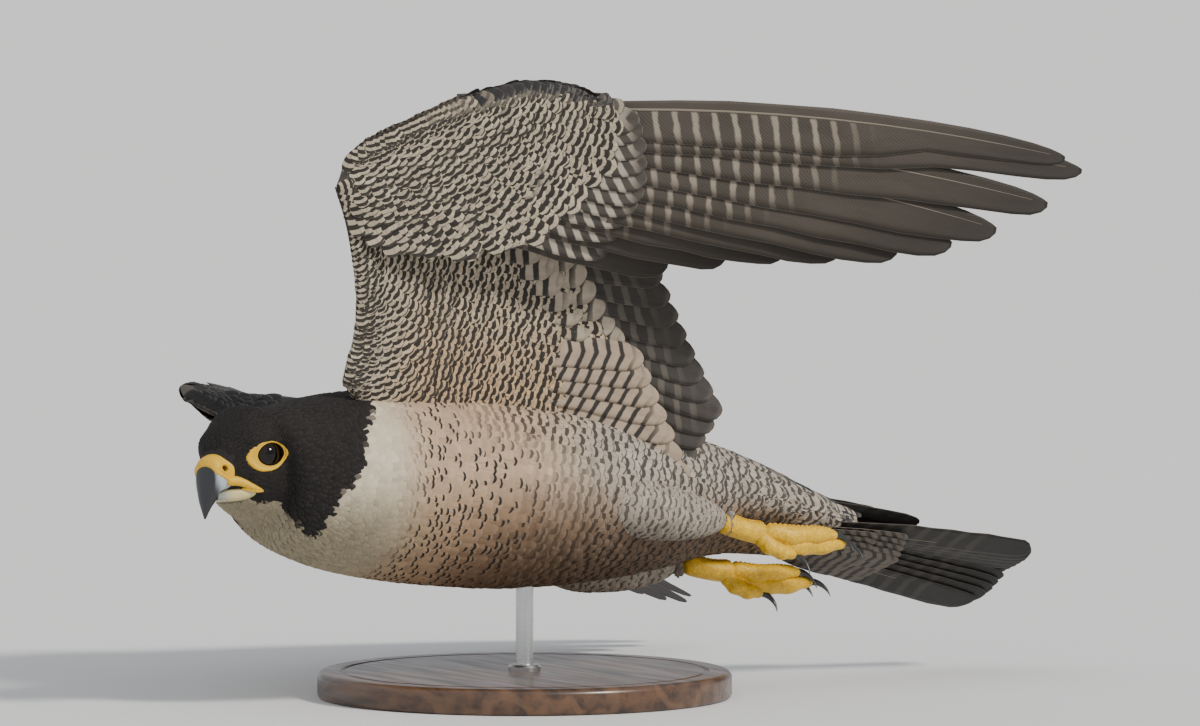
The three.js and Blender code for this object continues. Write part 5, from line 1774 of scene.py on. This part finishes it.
class FALCON_OT_feet(bpy.types.Operator):
    """Yellow feet with plated toes and pads, and black claws"""
    bl_idname = "falcon.feet"
    bl_label = "Feet and Claws"

    def execute(self, context):
        bare = context.scene.falcon_bare
        yellow = tuple(bare.yellow)
        skin = finish_for("foot", lambda: bare_skin_finish("foot_skin", yellow, 0.72, 900.0, 0.5))
        horn = finish_for("claw", lambda: horn_finish("claw_horn"))
        tree, sockets = scute_tree(skin)
        for name, wing in WINGS.items():
            side = wing["side"]
            parts, plates = [], []
            limbs = [(SHANK_PATH, SHANK_RADII, 0.0, 4.4)] + [(*toe, 0.13, 3.6) for toe in TOES]
            for path, radii, pad, gap in limbs:
                line = mirrored(path, side, FAR_FOOT)
                pads = lambda s, angle: 1 + pad * np.maximum(0, -np.sin(angle)) * np.cos(s * 19)
                sheet = limb_sheet(line, radii, rows=64, columns=41, form=pads)
                points, faces = shell(sheet.points[:, :-1])
                parts.append((points, faces, {"tint": np.ones((len(points), 4))}))
                rows = np.arange(5, 58, gap)
                column = np.full(len(rows), 10.0)
                at, normal = sheet.at(rows, column), sheet.normal(rows, column)
                ahead = unit(sheet.at(rows + 1, column) - sheet.at(rows - 1, column))
                centre = sheet.points[np.clip(rows.astype(int), 0, 63), :-1].mean(1)
                plates.append((at - normal * 0.15, normal, ahead, np.linalg.norm(at - centre, axis=1) / 1000))
            points, faces, values = merge(parts)
            foot = make_piece(f"foot_skin_{name}", points, faces, skin, values=values)
            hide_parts(f"foot_{name}")
            at, normal, ahead, radius = (np.concatenate(items) for items in zip(*plates))
            mesh = bpy.data.meshes.new(f"scute_points_{name}")
            mesh.from_pydata(to_room(at).tolist(), [], [])
            paint_points(mesh, {
                "outward": normal @ STANCE.T, "ahead": ahead @ STANCE.T, "limb_radius": radius})
            seeds = put_in_scene(f"scute_points_{name}", mesh)
            modifier = seeds.modifiers.new("Scutes", "NODES")
            modifier.node_group = tree
            modifier[sockets["Plate Length"]] = bare.scute_length
            modifier[sockets["Plate Rise"]] = 0.00055
            modifier[sockets["Seed"]] = 5 + side
            graph = context.evaluated_depsgraph_get()
            made = bpy.data.meshes.new_from_object(seeds.evaluated_get(graph))
            made.name = f"scutes_{name}"
            bpy.data.objects.remove(seeds)
            if not made.polygons:
                raise RuntimeError("the scutes came out empty")
            white = made.attributes.new("tint", "FLOAT_COLOR", "POINT")
            white.data.foreach_set("color", np.full(len(made.vertices) * 4, 1.06, np.float32))
            made.polygons.foreach_set("use_smooth", np.ones(len(made.polygons), bool))
            scutes = put_in_scene(f"scutes_{name}", made)
            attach(scutes, "root")
            for i, (path, _) in enumerate(TOES):
                points, faces = shell(claw_sheet(mirrored(path, side, FAR_FOOT), side))
                values = {"tint": painted(np.full((len(points), 3), 0.02))}
                claw = make_piece(
                    f"claw_horn_{name}_{i + 1}", points, faces, horn, values=values)
                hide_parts(f"claw_{name}_{i + 1}")
        return {"FINISHED"}


def lathe(profile, sides=128):
    angle = np.arange(sides) / sides * 2 * math.pi
    profile = np.array(profile, float)
    radius, height = profile[:, :1], np.repeat(profile[:, 1:], sides, 1)
    return shell(np.stack((radius * np.cos(angle), radius * np.sin(angle), height), -1))


class FALCON_OT_stand(bpy.types.Operator):
    """Turned wooden base and steel rod with its collar"""
    bl_idname = "falcon.stand"
    bl_label = "Stand"

    def execute(self, context):
        low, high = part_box("stand_base")
        radius, top = (high.x - low.x) / 2 * 1000, high.z * 1000
        edge = [(radius - 3 + 3 * math.sin(a), top - 3 + 3 * math.cos(a))
                for a in np.linspace(0, math.pi / 2, 9)]
        foot = [(radius, 1.6), (radius - 0.5, 0.6), (radius - 1.6, 0.0)]
        bead = [(radius - 13, top), (radius - 12.2, top - 0.7), (radius - 11, top - 0.7),
                (radius - 10.2, top)]
        points, faces = lathe([(0.5, top)] + bead + edge + foot + [(0.5, 0.0)])
        base = make_piece("base_wood", points / 1000, faces, wood_finish(), in_room=True)
        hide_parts("stand_base")
        low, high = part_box("stand_rod")
        rod, foot, head = (high.x - low.x) / 2 * 1000, low.z * 1000, high.z * 1000
        points, faces = lathe([
            (0.2, foot - 0.3), (rod + 3.4, foot - 0.3), (rod + 3.6, foot + 1.6), (rod + 2.8, foot + 2.6),
            (rod, foot + 3.0),
            (rod, head - 1.0), (rod - 0.8, head), (0.2, head)], 64)
        steel = make_piece("rod_steel", points / 1000, faces, steel_finish(), in_room=True)
        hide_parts("stand_rod")
        for piece in (base, steel):
            piece.data.set_sharp_from_angle(angle=math.radians(35))
        return {"FINISHED"}


class FALCON_OT_stage(bpy.types.Operator):
    """Floor, studio light and the camera at the photograph's angle"""
    bl_idname = "falcon.stage"
    bl_label = "Stage"

    def execute(self, context):
        settings = context.scene.falcon_stage
        scene = context.scene
        mesh = bpy.data.meshes.new("studio_floor")
        size = 60.0
        corners = [(-size, -size, 0), (size, -size, 0), (size, size, 0), (-size, size, 0)]
        mesh.from_pydata(corners, [], [(0, 1, 2, 3)])
        floor = put_in_scene("studio_floor", mesh)
        f = Finish("studio_floor", 0.9)
        mesh.materials.append(f.finish(tuple(settings.floor)))
        world = bpy.data.worlds.new("studio_light")
        world.use_nodes = True
        background = world.node_tree.nodes["Background"]
        background.inputs["Color"].default_value = (0.92, 0.95, 1.0, 1)
        background.inputs["Strength"].default_value = 0.6
        scene.world = world
        azimuth, elevation = math.radians(VIEW_AZIMUTH), math.radians(VIEW_ELEVATION)
        right = np.array((math.cos(azimuth), math.sin(azimuth), 0))
        level = np.array((math.sin(azimuth), -math.cos(azimuth), 0))
        above = np.array((0, 0, 1))
        toward = level * math.cos(elevation) + above * math.sin(elevation)
        up = np.cross(toward, right)
        for name, way, strength, angle, colour in (
            ("key", 0.62 * right + 0.5 * toward + 0.62 * above, settings.key, 10, (1.0, 0.965, 0.91)),
            ("fill", -0.7 * right + 0.5 * toward + 0.35 * above, settings.key * 0.25, 120, (0.93, 0.96, 1.0)),
        ):
            data = bpy.data.lights.new(name, "SUN")
            data.energy, data.angle, data.color = strength, math.radians(angle), colour
            turn_against(put_in_scene(name, data), way)
        aim = (ORIGIN + VIEW_AIM[0] * right + VIEW_AIM[1] * up) / 1000
        camera = put_in_scene("camera", bpy.data.cameras.new("camera"))
        camera.data.sensor_width = 36
        camera.data.lens = 36 * settings.distance / VIEW_WIDTH
        camera.data.clip_end = 200
        camera.location = aim + toward * settings.distance
        turn_against(camera, toward)
        scene.camera = camera
        return {"FINISHED"}


class FALCON_PT_panel(bpy.types.Panel):
    """Lists the falcon's steps and settings"""
    bl_idname = "FALCON_PT_panel"
    bl_label = "Falcon"
    bl_space_type = "VIEW_3D"
    bl_region_type = "UI"
    bl_category = "Falcon"

    def draw(self, context):
        for group in (context.scene.falcon_coat, context.scene.falcon_bare, context.scene.falcon_stage):
            box = self.layout.box()
            for key in group.__annotations__:
                box.prop(group, key)
        for operator in OPERATORS:
            self.layout.operator(operator.bl_idname)


OPERATORS = (
    FALCON_OT_skin, FALCON_OT_body_feathers, FALCON_OT_leg_feathers, FALCON_OT_wing_vanes,
    FALCON_OT_wing_coat,
    FALCON_OT_tail, FALCON_OT_bill, FALCON_OT_eyes, FALCON_OT_feet, FALCON_OT_stand, FALCON_OT_stage,
)
GROUPS = {"falcon_coat": FalconCoat, "falcon_bare": FalconBare, "falcon_stage": FalconStage}


def register():
    for item in (*GROUPS.values(), *OPERATORS, FALCON_PT_panel):
        bpy.utils.register_class(item)
    for key, group in GROUPS.items():
        setattr(bpy.types.Scene, key, bpy.props.PointerProperty(type=group))


def unregister():
    for key in GROUPS:
        delattr(bpy.types.Scene, key)
    for item in reversed((*GROUPS.values(), *OPERATORS, FALCON_PT_panel)):
        bpy.utils.unregister_class(item)


def main():
    register()
    for operator in OPERATORS:
        family, name = operator.bl_idname.split(".")
        getattr(getattr(bpy.ops, family), name)()


if __name__ == "__main__":
    main()
